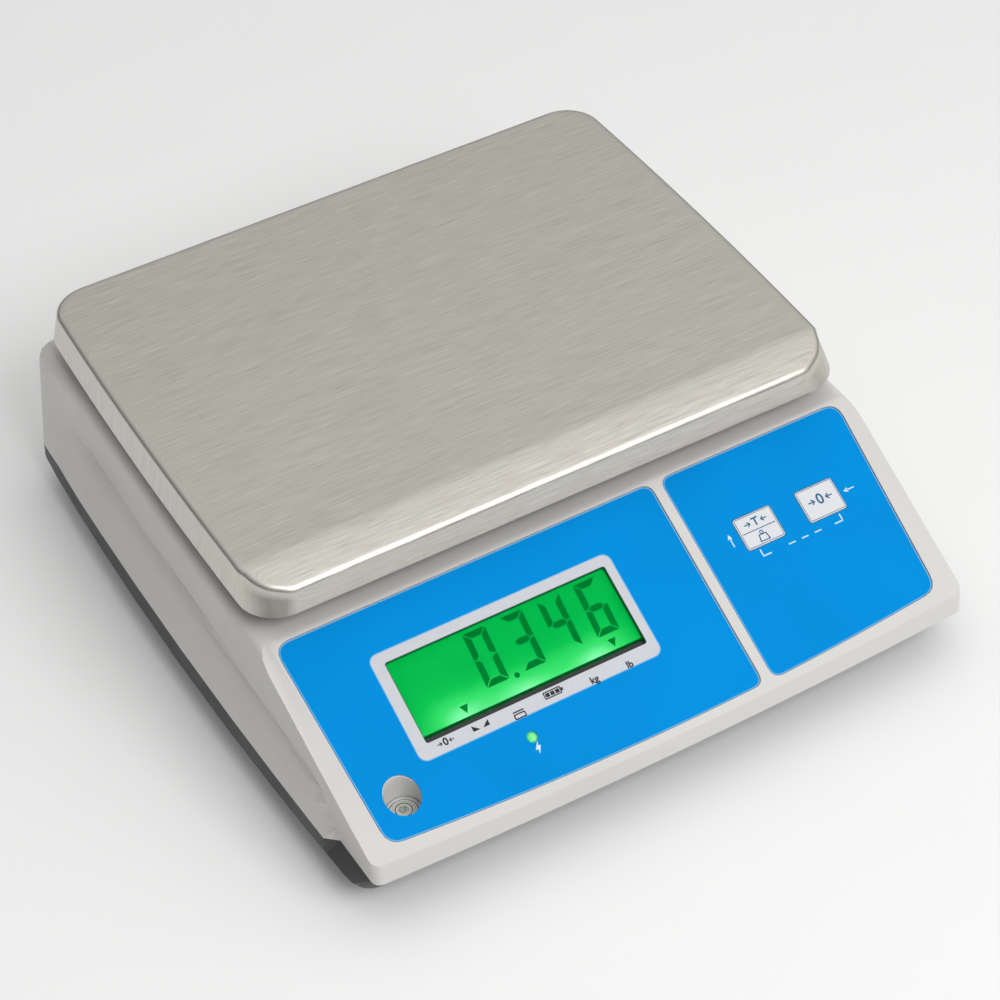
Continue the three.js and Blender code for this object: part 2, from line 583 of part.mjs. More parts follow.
const PLATE = { bottom: 33 + GAP, height: 4 };
const fixingHoles = [-9, 9].map((dy) => rod(3.4, 60, 0, CELL_FIXED_Y + dy, 10, 12));
const stopHole = rod(2.8, 60, 0, CELL_FREE_Y, 10, 12);
add(scale, 'chassis_plate',
  cut(box(64, 138, PLATE.height, 0, CELL_Y, PLATE.bottom), ...fixingHoles, stopHole), ZINC_PLATE);
const SPACER_BOTTOM = PLATE.bottom + PLATE.height + GAP;
const SPACER_HEIGHT = CELL.bottom - GAP - SPACER_BOTTOM;
add(scale, 'cell_spacer',
  cut(box(CELL.width, CELL_END, SPACER_HEIGHT, 0, CELL_FIXED_Y, SPACER_BOTTOM), ...fixingHoles),
  ALUMINIUM);
[-9, 9].forEach((dy, i) => {
  const name = `cell_screw_${i + 1}`;
  const screw = add(scale, name, capScrew(2.7, 31), STEEL, 0, CELL_FIXED_Y + dy, CELL_SCREW_SEAT);
  screw.rotation.x = Math.PI;
});
const STOP_BOTTOM = 33 + 2 * GAP;
const STOP_HEIGHT = CELL.bottom - CELL_TRAVEL_GAP - STOP_BOTTOM;
add(scale, 'overload_stop',
  join(rod(2.5, STOP_HEIGHT, 0, 0, 0, 12), rod(5, 3, 0, 0, PLATE.height + GAP, 6)),
  STEEL, 0, CELL_FREE_Y, STOP_BOTTOM);

// ---------------------------------------------------------------- housings
add(scale, 'top_housing', topHousing(), SHELL_GREY);
add(scale, 'bottom_housing', bottomHousing(), BASE_GREY);

// ---------------------------------------------------------------- fascia pieces
const LABEL_FACE = -LABEL_DEPTH;
function leftLabel() {
  return cut(
    slab(labelShape(-1, 0), LABEL_SHEET, LABEL_FACE - LABEL_SHEET, 4),
    slab(windowShape(0), 5, -3, 4),
    rod(LED.r + GAP, 5, LED.x, LABEL_TOP - LED.down, -3, 20),
    fromFascia(vialBore(VIAL.r, VIAL_SEAT)),
  );
}
function rightLabel() {
  return cut(
    slab(labelShape(1, 0), LABEL_SHEET, LABEL_FACE - LABEL_SHEET, 4),
    slab(keyShape(TARE_X, GAP), 5, -3, 4),
    slab(keyShape(ZERO_X, GAP), 5, -3, 4),
  );
}
add(fascia, 'display_label', leftLabel(), LABEL_BLUE);
add(fascia, 'keypad_label', rightLabel(), LABEL_BLUE);

// A key has a cap in the label, a flange under the housing wall and a stem over its switch.
function keySolid() {
  const cap = roundedRect(KEY.width, KEY.length, 1.4);
  const flange = roundedRect(KEY.width + 3, KEY.length + 3, 2);
  return join(
    slab(cap, 3.6, -3.8, 4),
    slab(flange, 1.2, -WALL - GAP - 1.2, 4),
    rod(2, 2.5, 0, 0, -6.5, 12),
  );
}
const BOARD_TOP = -12;
function tactSwitch() {
  const height = -6.5 - 2 * GAP - BOARD_TOP;
  return join(box(6, 6, height - 1, 0, 0, GAP), rod(1.7, height - GAP, 0, 0, GAP, 12));
}
[['tare', TARE_X], ['zero', ZERO_X]].forEach(([name, x]) => {
  add(fascia, `${name}_key`, keySolid(), KEY_GREY, x, LABEL_TOP - KEY.down, 0);
  add(fascia, `${name}_switch`, tactSwitch(), BLACK_PLASTIC, x, LABEL_TOP - KEY.down, BOARD_TOP);
});
add(fascia, 'keypad_board', slabGeometry(roundedRect(64, 34, 1), 1.6, BOARD_TOP - 1.6),
  BOARD_GREEN, (TARE_X + ZERO_X) / 2, LABEL_TOP - KEY.down, 0);

const stack = (name, w, h, top, sheet, material) => add(
  fascia, name, slabGeometry(roundedRect(w, h, 1), sheet, top - sheet), material,
  WINDOW.x, LABEL_TOP - WINDOW.down, 0);
stack('lcd_window', WINDOW.width + 6, WINDOW.length + 6, -WALL - GAP, 1.2, CLEAR);
stack('lcd_panel', WINDOW.width + 4, WINDOW.length + 5, -WALL - 2 * GAP - 1.2, 2.2, LCD_GREEN);
stack('lcd_backlight', WINDOW.width + 6, WINDOW.length + 6, -WALL - 3 * GAP - 3.4, 3.2, KEY_GREY);
stack('display_board', WINDOW.width + 14, WINDOW.length + 18, -WALL - 4 * GAP - 6.6, 1.6, BOARD_GREEN);

const ledProfile = [
  [0, -WALL - 1.5], [LED.r + 1.3, -WALL - 1.5], [LED.r + 1.3, -WALL - GAP],
  [LED.r, -WALL - GAP], [LED.r, -0.8], [LED.r * 0.7, -0.35], [0, -0.2],
];
add(fascia, 'charge_led', lathe(ledProfile, 20), LED_GREEN, LED.x, LABEL_TOP - LED.down, 0);

// Round spirit level at the bottom of its well: an open cup with a domed glass over the liquid.
const vialCup = lathe([[0, 0], [7.8, 0], [7.8, 4.2], [6.6, 4.2], [6.6, 1.2], [0, 1.2]], 24);
add(scale, 'level_vial', vialCup, ALUMINIUM, vialMouth.x, vialMouth.y, VIAL_SEAT + GAP);
add(scale, 'level_vial_glass', lathe([[0, 0], [6.2, 0], [6.2, 2.6], [4, 3.1], [0, 3.3]], 24),
  VIAL_GLASS, vialMouth.x, vialMouth.y, VIAL_SEAT + 1.8 + GAP);

// ---------------------------------------------------------------- feet
// The pad stays on the bench while the stud turns in it and screws into the base.
const padProfile = [[0, 0], [13, 0], [14, 1.2], [11.5, 5.2], [3.4, 5.2], [3.4, 2.2], [0, 2.2]];
const studProfile = [
  [0, 2.6], [3, 2.6], [3, 5.5], [11, 5.5], [11, 8.3], [3.9, 8.3], [3.9, 27], [3, 28], [0, 28],
];
function lockNut() {
  return cut(rod(7.5, 3, 0, 0, 8.6, 6), rod(4.2, 10, 0, 0, 5, 18));
}
FOOT_Y.forEach((y, row) => [-1, 1].forEach((side) => {
  const corner = `${row === 0 ? 'front' : 'rear'}_${side < 0 ? 'left' : 'right'}`;
  add(scale, `foot_pad_${corner}`, lathe(padProfile, 18), RUBBER, side * FOOT_X, y, 0);
  add(scale, `foot_stud_${corner}`, lathe(studProfile, 18), STEEL, side * FOOT_X, y, 0);
  add(scale, `foot_nut_${corner}`, lockNut(), STEEL, side * FOOT_X, y, 0);
}));

// ---------------------------------------------------------------- battery and its door
const { width: bw, length: bl, height: bh } = BATTERY;
add(scale, 'battery',
  join(box(bw, bl, bh), box(6, 3, 6, -22, -bl / 2 - 1, bh - 12), box(6, 3, 6, 22, -bl / 2 - 1, bh - 12)),
  BATTERY_GREY, BATTERY.x, BATTERY.y, BATTERY.bottom);

function batteryDoor() {
  const { width, length, sheet } = DOOR;
  const tabs = [-1, 1].flatMap((side) => [-1, 1].map((end) =>
    box(4, 9, 1, side * (width / 2 - 2.2), end * 36, sheet - 1 + GAP)));
  const grooves = [-6, -2, 2, 6].map((dy) => box(26, 1.6, 1, 0, dy - length / 2 + 16, -0.4));
  return cut(join(box(width - 4, length, sheet), ...tabs), ...grooves);
}
add(scale, 'battery_door', batteryDoor(), BASE_GREY, BATTERY.x, BATTERY.y, BASE_FLOOR);

// ---------------------------------------------------------------- back panel
// A frame that snaps into the wall, and a rocker that tips in it about a pin along X.
const switchFrame = cut(
  join(box(22, 1.4, 15, 0, 0.7 + GAP, -7.5), box(18.8, 17, 11.8, 0, -8, -5.9)),
  box(15.4, 14, 9.6, 0, -2.5, -4.8),
);
add(scale, 'switch_frame', switchFrame, BLACK_PLASTIC, SWITCH_X, PANEL_Y, PANEL_Z);

const ROCKER = { width: 14.6, half: 3.9, pivotDepth: 1.3, tilt: THREE.MathUtils.degToRad(7) };
function rocker() {
  const { width, half } = ROCKER;
  const shape = new THREE.Shape();
  shape.moveTo(half, -2.4);
  shape.lineTo(half, 3);
  shape.quadraticCurveTo(0, 1.4, -half, 3);
  shape.lineTo(-half, -2.4);
  shape.closePath();
  const side = new THREE.ExtrudeGeometry(shape, { depth: width, bevelEnabled: false, curveSegments: 8 });
  return side.translate(0, 0, -width / 2).rotateY(-Math.PI / 2);
}
const powerRocker = add(
  scale, 'power_rocker', rocker(), BLACK_PLASTIC, SWITCH_X, PANEL_Y - ROCKER.pivotDepth, PANEL_Z);
powerRocker.rotation.x = ROCKER.tilt;

// Barrel inlet for the low-voltage adapter, with its centre pin.
const inletProfile = [
  [0, -13], [5.3, -13], [5.3, GAP], [6.8, GAP], [6.8, 1.6],
  [3, 1.6], [3, -9.5], [1.05, -9.5], [1.05, -0.5], [0, -0.1],
];
const inlet = add(
  scale, 'power_inlet', lathe(inletProfile, 20), BLACK_PLASTIC, SOCKET_X, PANEL_Y, PANEL_Z);
inlet.rotation.x = -Math.PI / 2;

// ---------------------------------------------------------------- main board, screws and leads
const BOARD = { x: 90, y: 10, width: 80, length: 72, z: 33 + GAP, sheet: 1.6 };
function mainBoard() {
  const top = BOARD.sheet - 0.1;
  return join(
    box(BOARD.width, BOARD.length, BOARD.sheet),
    box(12, 7, 8, -28, 30, top),
    box(7, 14, 8, -35, -28, top),
    box(20, 7, 8, 0, -31, top),
    box(12, 7, 8, 6, 31, top),
    box(14, 14, 2, 4, -4, top),
    box(16, 10, 9, 28, 18, top),
    rod(5, 12, -16, 12, top, 12),
    rod(5, 12, 30, -12, top, 12),
  );
}
add(scale, 'main_board', mainBoard(), BOARD_GREEN, BOARD.x, BOARD.y, BOARD.z);

// Pan-head screw driven up from below, with a cross recess in its head.
const housingScrew = cut(
  join(rod(3.7, 2.2, 0, 0, -2.5, 16), rod(1.5, 16, 0, 0, -1, 10)),
  box(4, 0.9, 2, 0, 0, -3.5),
  box(0.9, 4, 2, 0, 0, -3.5),
);
SHELL_POSTS.forEach(([x, y], i) =>
  add(scale, `housing_screw_${i + 1}`, housingScrew, STEEL, x, y, BASE_FLOOR + 3));

// A round lead along a smooth route.
function lead(name, r, material, points, steps) {
  const route = new THREE.CatmullRomCurve3(points.map((point) => new THREE.Vector3(...point)));
  const section = new THREE.Shape().absarc(0, 0, r, 0, 2 * Math.PI);
  const options = { extrudePath: route, steps, curveSegments: 4 };
  add(scale, name, new THREE.ExtrudeGeometry(section, options), material);
}
const BOARD_FACE = BOARD.z + BOARD.sheet + 4;
lead('load_cell_cable', 2, CABLE_GREY, [
  [15.6, 98, 55], [26, 98, 54], [38, 88, 47],
  [46, 66, BOARD_FACE + 3], [60, 52, BOARD_FACE], [62, 44, BOARD_FACE],
], 16);
const batteryLead = (name, x, lift, material) => lead(name, 1.3, material, [
  [x, -5, 58], [x + 1, -13, 57], [x + 22, -28 + lift, 50], [-20, -32 + lift, 44 + lift],
  [25, -30 + lift, 42 + lift], [42, -24 + lift, BOARD_FACE], [51, -21 + lift, BOARD_FACE],
], 22);
batteryLead('battery_lead_black', -122, -6, CABLE_GREY);
batteryLead('battery_lead_red', -78, 2, CABLE_RED);
lead('display_cable', 2.4, CABLE_GREY, [
  [4, -104, 49], [14, -96, 44], [44, -66, 42],
  [78, -52, 40], [88, -38, BOARD_FACE], [89, -25.5, BOARD_FACE],
], 16);
lead('switch_lead', 1.8, CABLE_GREY, [
  [92, 150, 52], [92, 142, 51], [98, 110, 44],
  [99, 70, 40], [96, 54, BOARD_FACE], [96, 45.5, BOARD_FACE],
], 16);
lead('inlet_lead', 1.8, CABLE_GREY, [
  [60, 154, 52], [60, 146, 51], [64, 110, 44], [70, 70, 41],
  [76, 56, BOARD_FACE], [82, 50, BOARD_FACE + 3], [84, 46, BOARD_FACE + 3],
], 16);

export default scale;
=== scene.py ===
# Looks of the bench scale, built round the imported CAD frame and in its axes.
# Blender works in metres. Shapes are given in millimetres and scaled by MM.
import json
import math

import bmesh
import bpy
from mathutils import Matrix, Vector

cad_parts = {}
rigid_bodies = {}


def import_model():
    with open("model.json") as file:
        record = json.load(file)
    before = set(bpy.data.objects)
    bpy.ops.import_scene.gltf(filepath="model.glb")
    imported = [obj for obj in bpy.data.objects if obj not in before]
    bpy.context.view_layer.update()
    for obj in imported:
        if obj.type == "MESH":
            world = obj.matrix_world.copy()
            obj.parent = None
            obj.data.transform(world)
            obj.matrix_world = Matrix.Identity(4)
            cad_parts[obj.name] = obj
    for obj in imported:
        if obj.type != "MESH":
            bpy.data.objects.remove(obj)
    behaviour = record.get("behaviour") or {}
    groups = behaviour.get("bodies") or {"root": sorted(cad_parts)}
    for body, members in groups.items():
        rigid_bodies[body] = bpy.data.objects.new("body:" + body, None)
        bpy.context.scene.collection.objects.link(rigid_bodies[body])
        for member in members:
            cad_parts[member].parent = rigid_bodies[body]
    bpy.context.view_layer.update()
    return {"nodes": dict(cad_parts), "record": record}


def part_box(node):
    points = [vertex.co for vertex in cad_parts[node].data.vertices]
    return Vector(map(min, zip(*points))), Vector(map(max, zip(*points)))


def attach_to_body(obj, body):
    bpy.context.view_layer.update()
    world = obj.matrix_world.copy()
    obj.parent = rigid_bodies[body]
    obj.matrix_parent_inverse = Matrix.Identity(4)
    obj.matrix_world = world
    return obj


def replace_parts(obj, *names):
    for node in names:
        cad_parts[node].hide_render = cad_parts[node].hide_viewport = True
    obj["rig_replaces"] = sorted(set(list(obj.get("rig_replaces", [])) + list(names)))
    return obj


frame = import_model()
RECORD = frame["record"]
BODY = {node: body for body, nodes in RECORD["behaviour"]["bodies"].items() for node in nodes}
SLOT = {part["node"]: part["material_slot"] for part in RECORD["subparts"]}
MM = 0.001

# ------------------------------------------------------------------ camera
CAMERA_AT = Vector((-0.4096, -0.7976, 0.8970))
CAMERA_AZIMUTH, CAMERA_ELEVATION, CAMERA_ROLL = (math.radians(a) for a in (-27.43, 43.88, -3.35))
CAMERA_LENS, CAMERA_FILM = 94.75, 36


def make_camera():
    a, e, r = CAMERA_AZIMUTH, CAMERA_ELEVATION, CAMERA_ROLL
    back = Vector((math.sin(a) * math.cos(e), -math.cos(a) * math.cos(e), math.sin(e)))
    level = (-back).cross(Vector((0, 0, 1))).normalized()
    upright = level.cross(-back)
    right = level * math.cos(r) + upright * math.sin(r)
    up = upright * math.cos(r) - level * math.sin(r)
    data = bpy.data.cameras.new("camera")
    data.sensor_width = CAMERA_FILM
    data.lens = CAMERA_LENS
    data.clip_start, data.clip_end = 0.05, 50
    camera = bpy.data.objects.new("camera", data)
    turn = Matrix((right, up, back)).transposed().to_4x4()
    camera.matrix_world = Matrix.Translation(CAMERA_AT) @ turn
    bpy.context.scene.collection.objects.link(camera)
    bpy.context.scene.camera = camera


make_camera()


# ------------------------------------------------------------------ materials
NOISE_LOW, NOISE_HIGH = 0.3, 0.7  # most of a noise's values lie between these


class Shader:
    """A Principled material and short ways of adding nodes to it."""

    def __init__(self, name, roughness=0.5, metallic=0.0, **sockets):
        self.material = bpy.data.materials.new(name)
        self.material.use_nodes = True
        self.tree = self.material.node_tree
        self.main = self.tree.nodes["Principled BSDF"]
        self.main.inputs["Roughness"].default_value = roughness
        self.main.inputs["Metallic"].default_value = metallic
        for socket, value in sockets.items():
            self.main.inputs[socket.replace("_", " ")].default_value = value
        self.where = self.add("ShaderNodeTexCoord").outputs["Object"]

    def add(self, kind, inputs=(), **settings):
        """A node whose inputs are given as values or as other nodes' sockets."""
        made = self.tree.nodes.new(kind)
        for key, value in settings.items():
            setattr(made, key, value)
        for key, value in dict(inputs).items():
            if isinstance(value, bpy.types.NodeSocket):
                self.tree.links.new(value, made.inputs[key])
            else:
                made.inputs[key].default_value = value
        return made

    def math(self, operation, a, b=0.0, c=0.0, clamp=False):
        made = self.add("ShaderNodeMath", {0: a, 1: b, 2: c}, operation=operation, use_clamp=clamp)
        return made.outputs[0]

    def stretched(self, scale):
        """The place in the object, scaled on each axis."""
        return self.add("ShaderNodeMapping", {"Vector": self.where, "Scale": scale}).outputs["Vector"]

    def noise(self, scale, detail=2.0, vector=None, roughness=0.5):
        """Cloudy noise with about this many blobs to a metre."""
        inputs = {"Vector": vector or self.where, "Scale": scale, "Detail": detail, "Roughness": roughness}
        return self.add("ShaderNodeTexNoise", inputs).outputs["Fac"]

    def shades(self, factor, stops):
        """Colours blended along a factor, from stops of (factor, colour)."""
        made = self.add("ShaderNodeValToRGB", {"Fac": factor})
        band = made.color_ramp
        while len(band.elements) < len(stops):
            band.elements.new(0.5)
        for element, (position, colour) in zip(band.elements, stops):
            element.position = position
            element.color = (*colour[:3], 1)
        return made.outputs["Color"]

    def feed(self, socket, value):
        self.tree.links.new(value, self.main.inputs[socket])

    def tint(self, factor, stops):
        """Base colour blended along a factor."""
        self.feed("Base Color", self.shades(factor, stops))

    def gloss(self, noise, smoothest, roughest):
        """Roughness that a noise moves between two values."""
        inputs = {"Value": noise, "From Min": NOISE_LOW, "From Max": NOISE_HIGH,
                  "To Min": smoothest, "To Max": roughest}
        self.feed("Roughness", self.add("ShaderNodeMapRange", inputs).outputs["Result"])

    def bump(self, height, strength, distance):
        """Fine relief, distance metres deep at full strength."""
        inputs = {"Height": height, "Strength": strength, "Distance": distance}
        self.feed("Normal", self.add("ShaderNodeBump", inputs).outputs["Normal"])


def linear(*srgb):
    """An sRGB colour of 0 to 255 as linear light."""
    return tuple((c / 255 / 12.92) if c < 11 else ((c / 255 + 0.055) / 1.055) ** 2.4 for c in srgb)


def scaled(colour, k):
    """A colour made darker or lighter."""
    return tuple(min(c * k, 1.0) for c in colour[:3])


def plastic(name, colour, roughness=0.45, grain=1600, depth=0.06, cloudy=0.05, **sockets):
    """Moulded plastic: slight cloudiness in the colour, fine spark-eroded grain, uneven gloss."""
    s = Shader(name, roughness, **sockets)
    cloud = s.noise(14, 4)
    fleck = s.noise(grain * 0.8, 1)
    mixed = s.math("MULTIPLY_ADD", fleck, 0.25, s.math("MULTIPLY", cloud, 0.75))
    dull, bright = scaled(colour, 1 - cloudy), scaled(colour, 1 + cloudy * 0.6)
    s.tint(mixed, [(0.25, dull), (0.5, colour), (0.75, bright)])
    s.gloss(s.noise(60, 3), roughness - 0.05, roughness + 0.07)
    s.bump(s.noise(grain, 2), depth, 0.0003)
    return s.material


def rubbery(name, colour):
    """Matt rubber or cable sheath with a little dust."""
    s = Shader(name, 0.8)
    dust = s.noise(90, 5)
    s.tint(dust, [(0.3, scaled(colour, 0.8)), (0.6, colour), (0.85, scaled(colour, 1.6))])
    s.gloss(dust, 0.7, 0.92)
    s.bump(s.noise(900, 3), 0.15, 0.0004)
    return s.material


def turned_metal(name, colour, roughness, grain=500, depth=0.05):
    """Machined or plated metal with fine tool marks and a little staining."""
    s = Shader(name, roughness, 1.0)
    stain = s.noise(45, 4)
    s.tint(stain, [(0.3, scaled(colour, 0.82)), (0.6, colour), (0.9, scaled(colour, 1.06))])
    s.gloss(s.noise(220, 3), roughness - 0.06, roughness + 0.12)
    s.bump(s.noise(grain, 3, s.stretched((1, 1, 4))), depth, 0.0003)
    return s.material


def brushed_steel():
    """Pan sheet: grain runs along X on the top and the front, and down the folded sides."""
    s = Shader("brushed_stainless", 0.34, 1.0)
    facing = s.add("ShaderNodeSeparateXYZ", {0: s.add("ShaderNodeNewGeometry").outputs["Normal"]})
    side = s.math("POWER", s.math("ABSOLUTE", facing.outputs["X"]), 1.5)
    here = s.add("ShaderNodeSeparateXYZ", {0: s.where})
    drop = s.math("MULTIPLY", here.outputs["Z"], s.math("SUBTRACT", 1.0, side))
    across = s.math("SUBTRACT", here.outputs["Y"], drop)
    along = s.math("ADD", here.outputs["X"], s.math("MULTIPLY", here.outputs["Z"], side))
    grain = s.add("ShaderNodeCombineXYZ", {"X": along, "Y": across}).outputs[0]

    def streaks(length, width, detail):
        """Scratches of a length and a width in metres."""
        stretched = s.add("ShaderNodeMapping", {"Vector": grain, "Scale": (1 / length, 1 / width, 1)})
        return s.noise(1.0, detail, stretched.outputs["Vector"], 0.6)

    fine = streaks(0.016, 0.0004, 2)
    medium = streaks(0.035, 0.001, 3)
    broad = streaks(0.2, 0.01, 2)
    mixed = s.math("MULTIPLY", broad, 0.1)
    mixed = s.math("MULTIPLY_ADD", medium, 0.35, mixed)
    mixed = s.math("MULTIPLY_ADD", fine, 0.55, mixed)
    dark, mid, light = (0.48, 0.455, 0.41), (0.63, 0.605, 0.55), (0.745, 0.725, 0.67)
    s.tint(mixed, [(0.3, dark), (0.5, mid), (0.68, light)])
    s.gloss(mixed, 0.28, 0.44)
    s.bump(mixed, 0.22, 0.00025)
    return s.material


def label_film(name, colour):
    """Printed polyester film: even ink under a satin coat with a very fine velvet texture."""
    s = Shader(name, 0.38, Specular_IOR_Level=0.03)
    cloud = s.noise(20, 3)
    s.tint(cloud, [(0.3, scaled(colour, 0.96)), (0.7, scaled(colour, 1.03))])
    s.gloss(s.noise(150, 3), 0.34, 0.43)
    s.bump(s.noise(2600, 2), 0.04, 0.0002)
    return s.material


def circuit_board(name):
    """Green solder mask over raised square-cornered tracks."""
    s = Shader(name, 0.35)
    brick = {"Vector": s.where, "Scale": 140.0, "Mortar Size": 0.04}
    tracks = s.add("ShaderNodeTexBrick", brick).outputs["Fac"]
    cloud = s.noise(400, 3)
    mask = s.math("MULTIPLY_ADD", tracks, 0.5, s.math("MULTIPLY", cloud, 0.5))
    dark, mid, light = (0.01, 0.10, 0.045), (0.015, 0.16, 0.07), (0.05, 0.30, 0.13)
    s.tint(mask, [(0.2, dark), (0.5, mid), (0.8, light)])
    s.bump(tracks, 0.3, 0.0001)
    return s.material


def clear_glass(name, tint, rough=0.02, ior=1.45):
    """Clear moulding; a low ior keeps what lies behind a thin pane where it is."""
    s = Shader(name, rough, Transmission_Weight=1.0, IOR=ior)
    s.tint(s.noise(30, 2), [(0.3, scaled(tint, 0.99)), (0.7, tint)])
    s.gloss(s.noise(90, 3), rough, rough + 0.03)
    return s.material


LAMP_SPREAD = (0.62, 1.0, 1.0)  # the glow reaches further along X
LAMP_CORE = (0.28, 0.95, 0.48)


def lit_panel(name, lamps, low, high, reach):
    """Green backlit liquid crystal: brighter round the lamps along its lower edge."""
    s = Shader(name, 0.3)
    glow = None
    for lamp in lamps:
        offset = s.add("ShaderNodeVectorMath", {0: s.where, 1: lamp}, operation="SUBTRACT").outputs[0]
        flat = s.add("ShaderNodeVectorMath", {0: offset, 1: LAMP_SPREAD}, operation="MULTIPLY").outputs[0]
        away = s.add("ShaderNodeVectorMath", {0: flat}, operation="LENGTH").outputs["Value"]
        falloff = s.math("POWER", s.math("SUBTRACT", 1.0, s.math("DIVIDE", away, reach), clamp=True), 2.2)
        glow = falloff if glow is None else s.math("ADD", glow, falloff)
    cloud = s.math("MULTIPLY", s.noise(35, 3), 0.22)
    level = s.math("ADD", glow, cloud, clamp=True)
    colour = s.shades(level, [(0.0, low), (0.28, scaled(low, 1.25)), (0.62, high), (1.0, LAMP_CORE)])
    s.tint(level, [(0.0, scaled(low, 0.35)), (1.0, scaled(high, 0.4))])
    s.feed("Emission Color", colour)
    s.main.inputs["Emission Strength"].default_value = 0.75
    s.main.inputs["Specular IOR Level"].default_value = 0.0
    s.bump(s.noise(1200, 2), 0.02, 0.0001)
    return s.material


def printed(name, colour, roughness=0.5, shine=0.25):
    """Flat printing ink."""
    s = Shader(name, roughness, Specular_IOR_Level=shine)
    s.tint(s.noise(300, 3), [(0.3, scaled(colour, 0.98)), (0.7, scaled(colour, 1.02))])
    s.bump(s.noise(3000, 1), 0.05, 0.0001)
    return s.material


STAINLESS = brushed_steel()
ALLOY = turned_metal("cast_alloy_finish", (0.72, 0.73, 0.74), 0.42)
PLATED = turned_metal("plated_steel_finish", (0.66, 0.67, 0.69), 0.28)
ZINC = turned_metal("zinc_sheet_finish", (0.58, 0.60, 0.62), 0.4, 300, 0.1)
SHELL_PLASTIC = plastic("light_shell_finish", linear(214, 212, 209), 0.42)
BASE_PLASTIC = plastic("dark_base_finish", linear(66, 66, 67), 0.5)
BLACK = plastic("black_plastic_finish", linear(28, 28, 29), 0.35, 1200, 0.1)
KEY_PLASTIC = plastic("key_pad_finish", linear(222, 223, 228), 0.4)
BATTERY_PLASTIC = plastic("battery_case_finish", linear(84, 87, 92), 0.5)
RUBBER = rubbery("rubber_finish", (0.022, 0.022, 0.022))
GREY_SHEATH = rubbery("grey_sheath", (0.30, 0.30, 0.30))
RED_SHEATH = rubbery("red_sheath", (0.42, 0.015, 0.012))
BOARD = circuit_board("circuit_board_finish")
BLUE_FILM = label_film("blue_film_finish", linear(0, 143, 222))
WINDOW_GLASS = clear_glass("clear_window_finish", (0.96, 0.99, 0.97), 0.02, 1.04)
PALE_INK = printed("pale_ink", scaled(linear(214, 216, 222), 0.92))
WHITE_INK = printed("white_ink", (0.66, 0.84, 0.93))
# Light blue for the thin line round the window's pale surround, and for the painted highlight along the
# labels' edges
EDGE_INK_AND_HIGHLIGHT = printed("edge_ink_and_highlight", linear(120, 185, 232))
DARK_INK = printed("dark_ink", linear(36, 38, 43))
BLUE_INK = printed("blue_ink", linear(36, 104, 146))
SEGMENT = printed("segment_green", linear(0, 128, 50), 0.4, 0.0)
# Green of the window opening's walls: painted light from the backlit panel
LIT_WALL = printed("lit_wall_green", linear(0, 140, 58), 0.5, 0.0)
# Dark green of the painted shadow that the film's edge casts on the lit panel
PAINTED_SHADOW_GREEN = printed("painted_shadow_green", linear(0, 92, 40), 0.5, 0.0)
VIAL_WHITE = plastic("vial_white", linear(196, 197, 196), 0.3)

# The finish of each material slot, for pieces that keep their CAD shape
FINISH = {
    "stainless": STAINLESS, "cast_alloy": ALLOY, "plated_steel": PLATED, "zinc_sheet": ZINC,
    "light_shell": SHELL_PLASTIC, "dark_base": BASE_PLASTIC, "blue_film": BLUE_FILM, "key_pad": KEY_PLASTIC,
    "black_plastic": BLACK, "rubber": RUBBER, "circuit_board": BOARD, "clear_window": WINDOW_GLASS,
    "battery_case": BATTERY_PLASTIC, "grey_cable": GREY_SHEATH, "red_cable": RED_SHEATH,
}


# ------------------------------------------------------------------ making pieces
def linked(name, data, material):
    """A mesh as a piece in the scene."""
    piece = bpy.data.objects.new(name, data)
    bpy.context.scene.collection.objects.link(piece)
    data.materials.clear()
    data.materials.append(material)
    return piece


def smooth(data, degrees=35):
    """Smooth shading that breaks at edges sharper than an angle."""
    data.polygons.foreach_set("use_smooth", [True] * len(data.polygons))
    shape = bmesh.new()
    shape.from_mesh(data)
    for edge in shape.edges:
        edge.smooth = edge.calc_face_angle(0) < math.radians(degrees)
    shape.to_mesh(data)
    shape.free()


def soften(piece, width, segments, degrees):
    """Rounded edges in place of the sharp ones."""
    bevel = piece.modifiers.new("edge_round", "BEVEL")
    bevel.width = width * MM
    bevel.segments = segments
    bevel.limit_method = "ANGLE"
    bevel.angle_limit = math.radians(degrees)
    bevel.miter_outer = "MITER_ARC"
    bevel.use_clamp_overlap = True
    normals = piece.modifiers.new("even_shading", "WEIGHTED_NORMAL")
    normals.keep_sharp = True
    normals.weight = 60


def solid(name, points, faces, material, at=Matrix.Identity(4), degrees=35):
    """A piece from points in millimetres."""
    data = bpy.data.meshes.new(name)
    data.from_pydata([(at @ Vector(p)) * MM for p in points], [], faces)
    shape = bmesh.new()
    shape.from_mesh(data)
    bmesh.ops.recalc_face_normals(shape, faces=shape.faces)
    shape.to_mesh(data)
    shape.free()
    smooth(data, degrees)
    return linked(name, data, material)


def plate(name, loops, low, high, material, at, bevel=0.0, resolution=2):
    """A flat piece between two heights, from closed outlines; an outline inside another is a hole."""
    curve = bpy.data.curves.new(name, "CURVE")
    curve.dimensions = "2D"
    curve.fill_mode = "BOTH"
    curve.extrude = ((high - low) / 2 - bevel) * MM
    curve.bevel_depth = bevel * MM
    curve.bevel_resolution = resolution
    curve.offset = -bevel * MM
    for loop in loops:
        spline = curve.splines.new("POLY")
        spline.points.add(len(loop) - 1)
        for point, (x, y) in zip(spline.points, loop):
            point.co = (x * MM, y * MM, 0, 1)
        spline.use_cyclic_u = True
    return flattened(name, curve, (low + high) / 2, material, at)


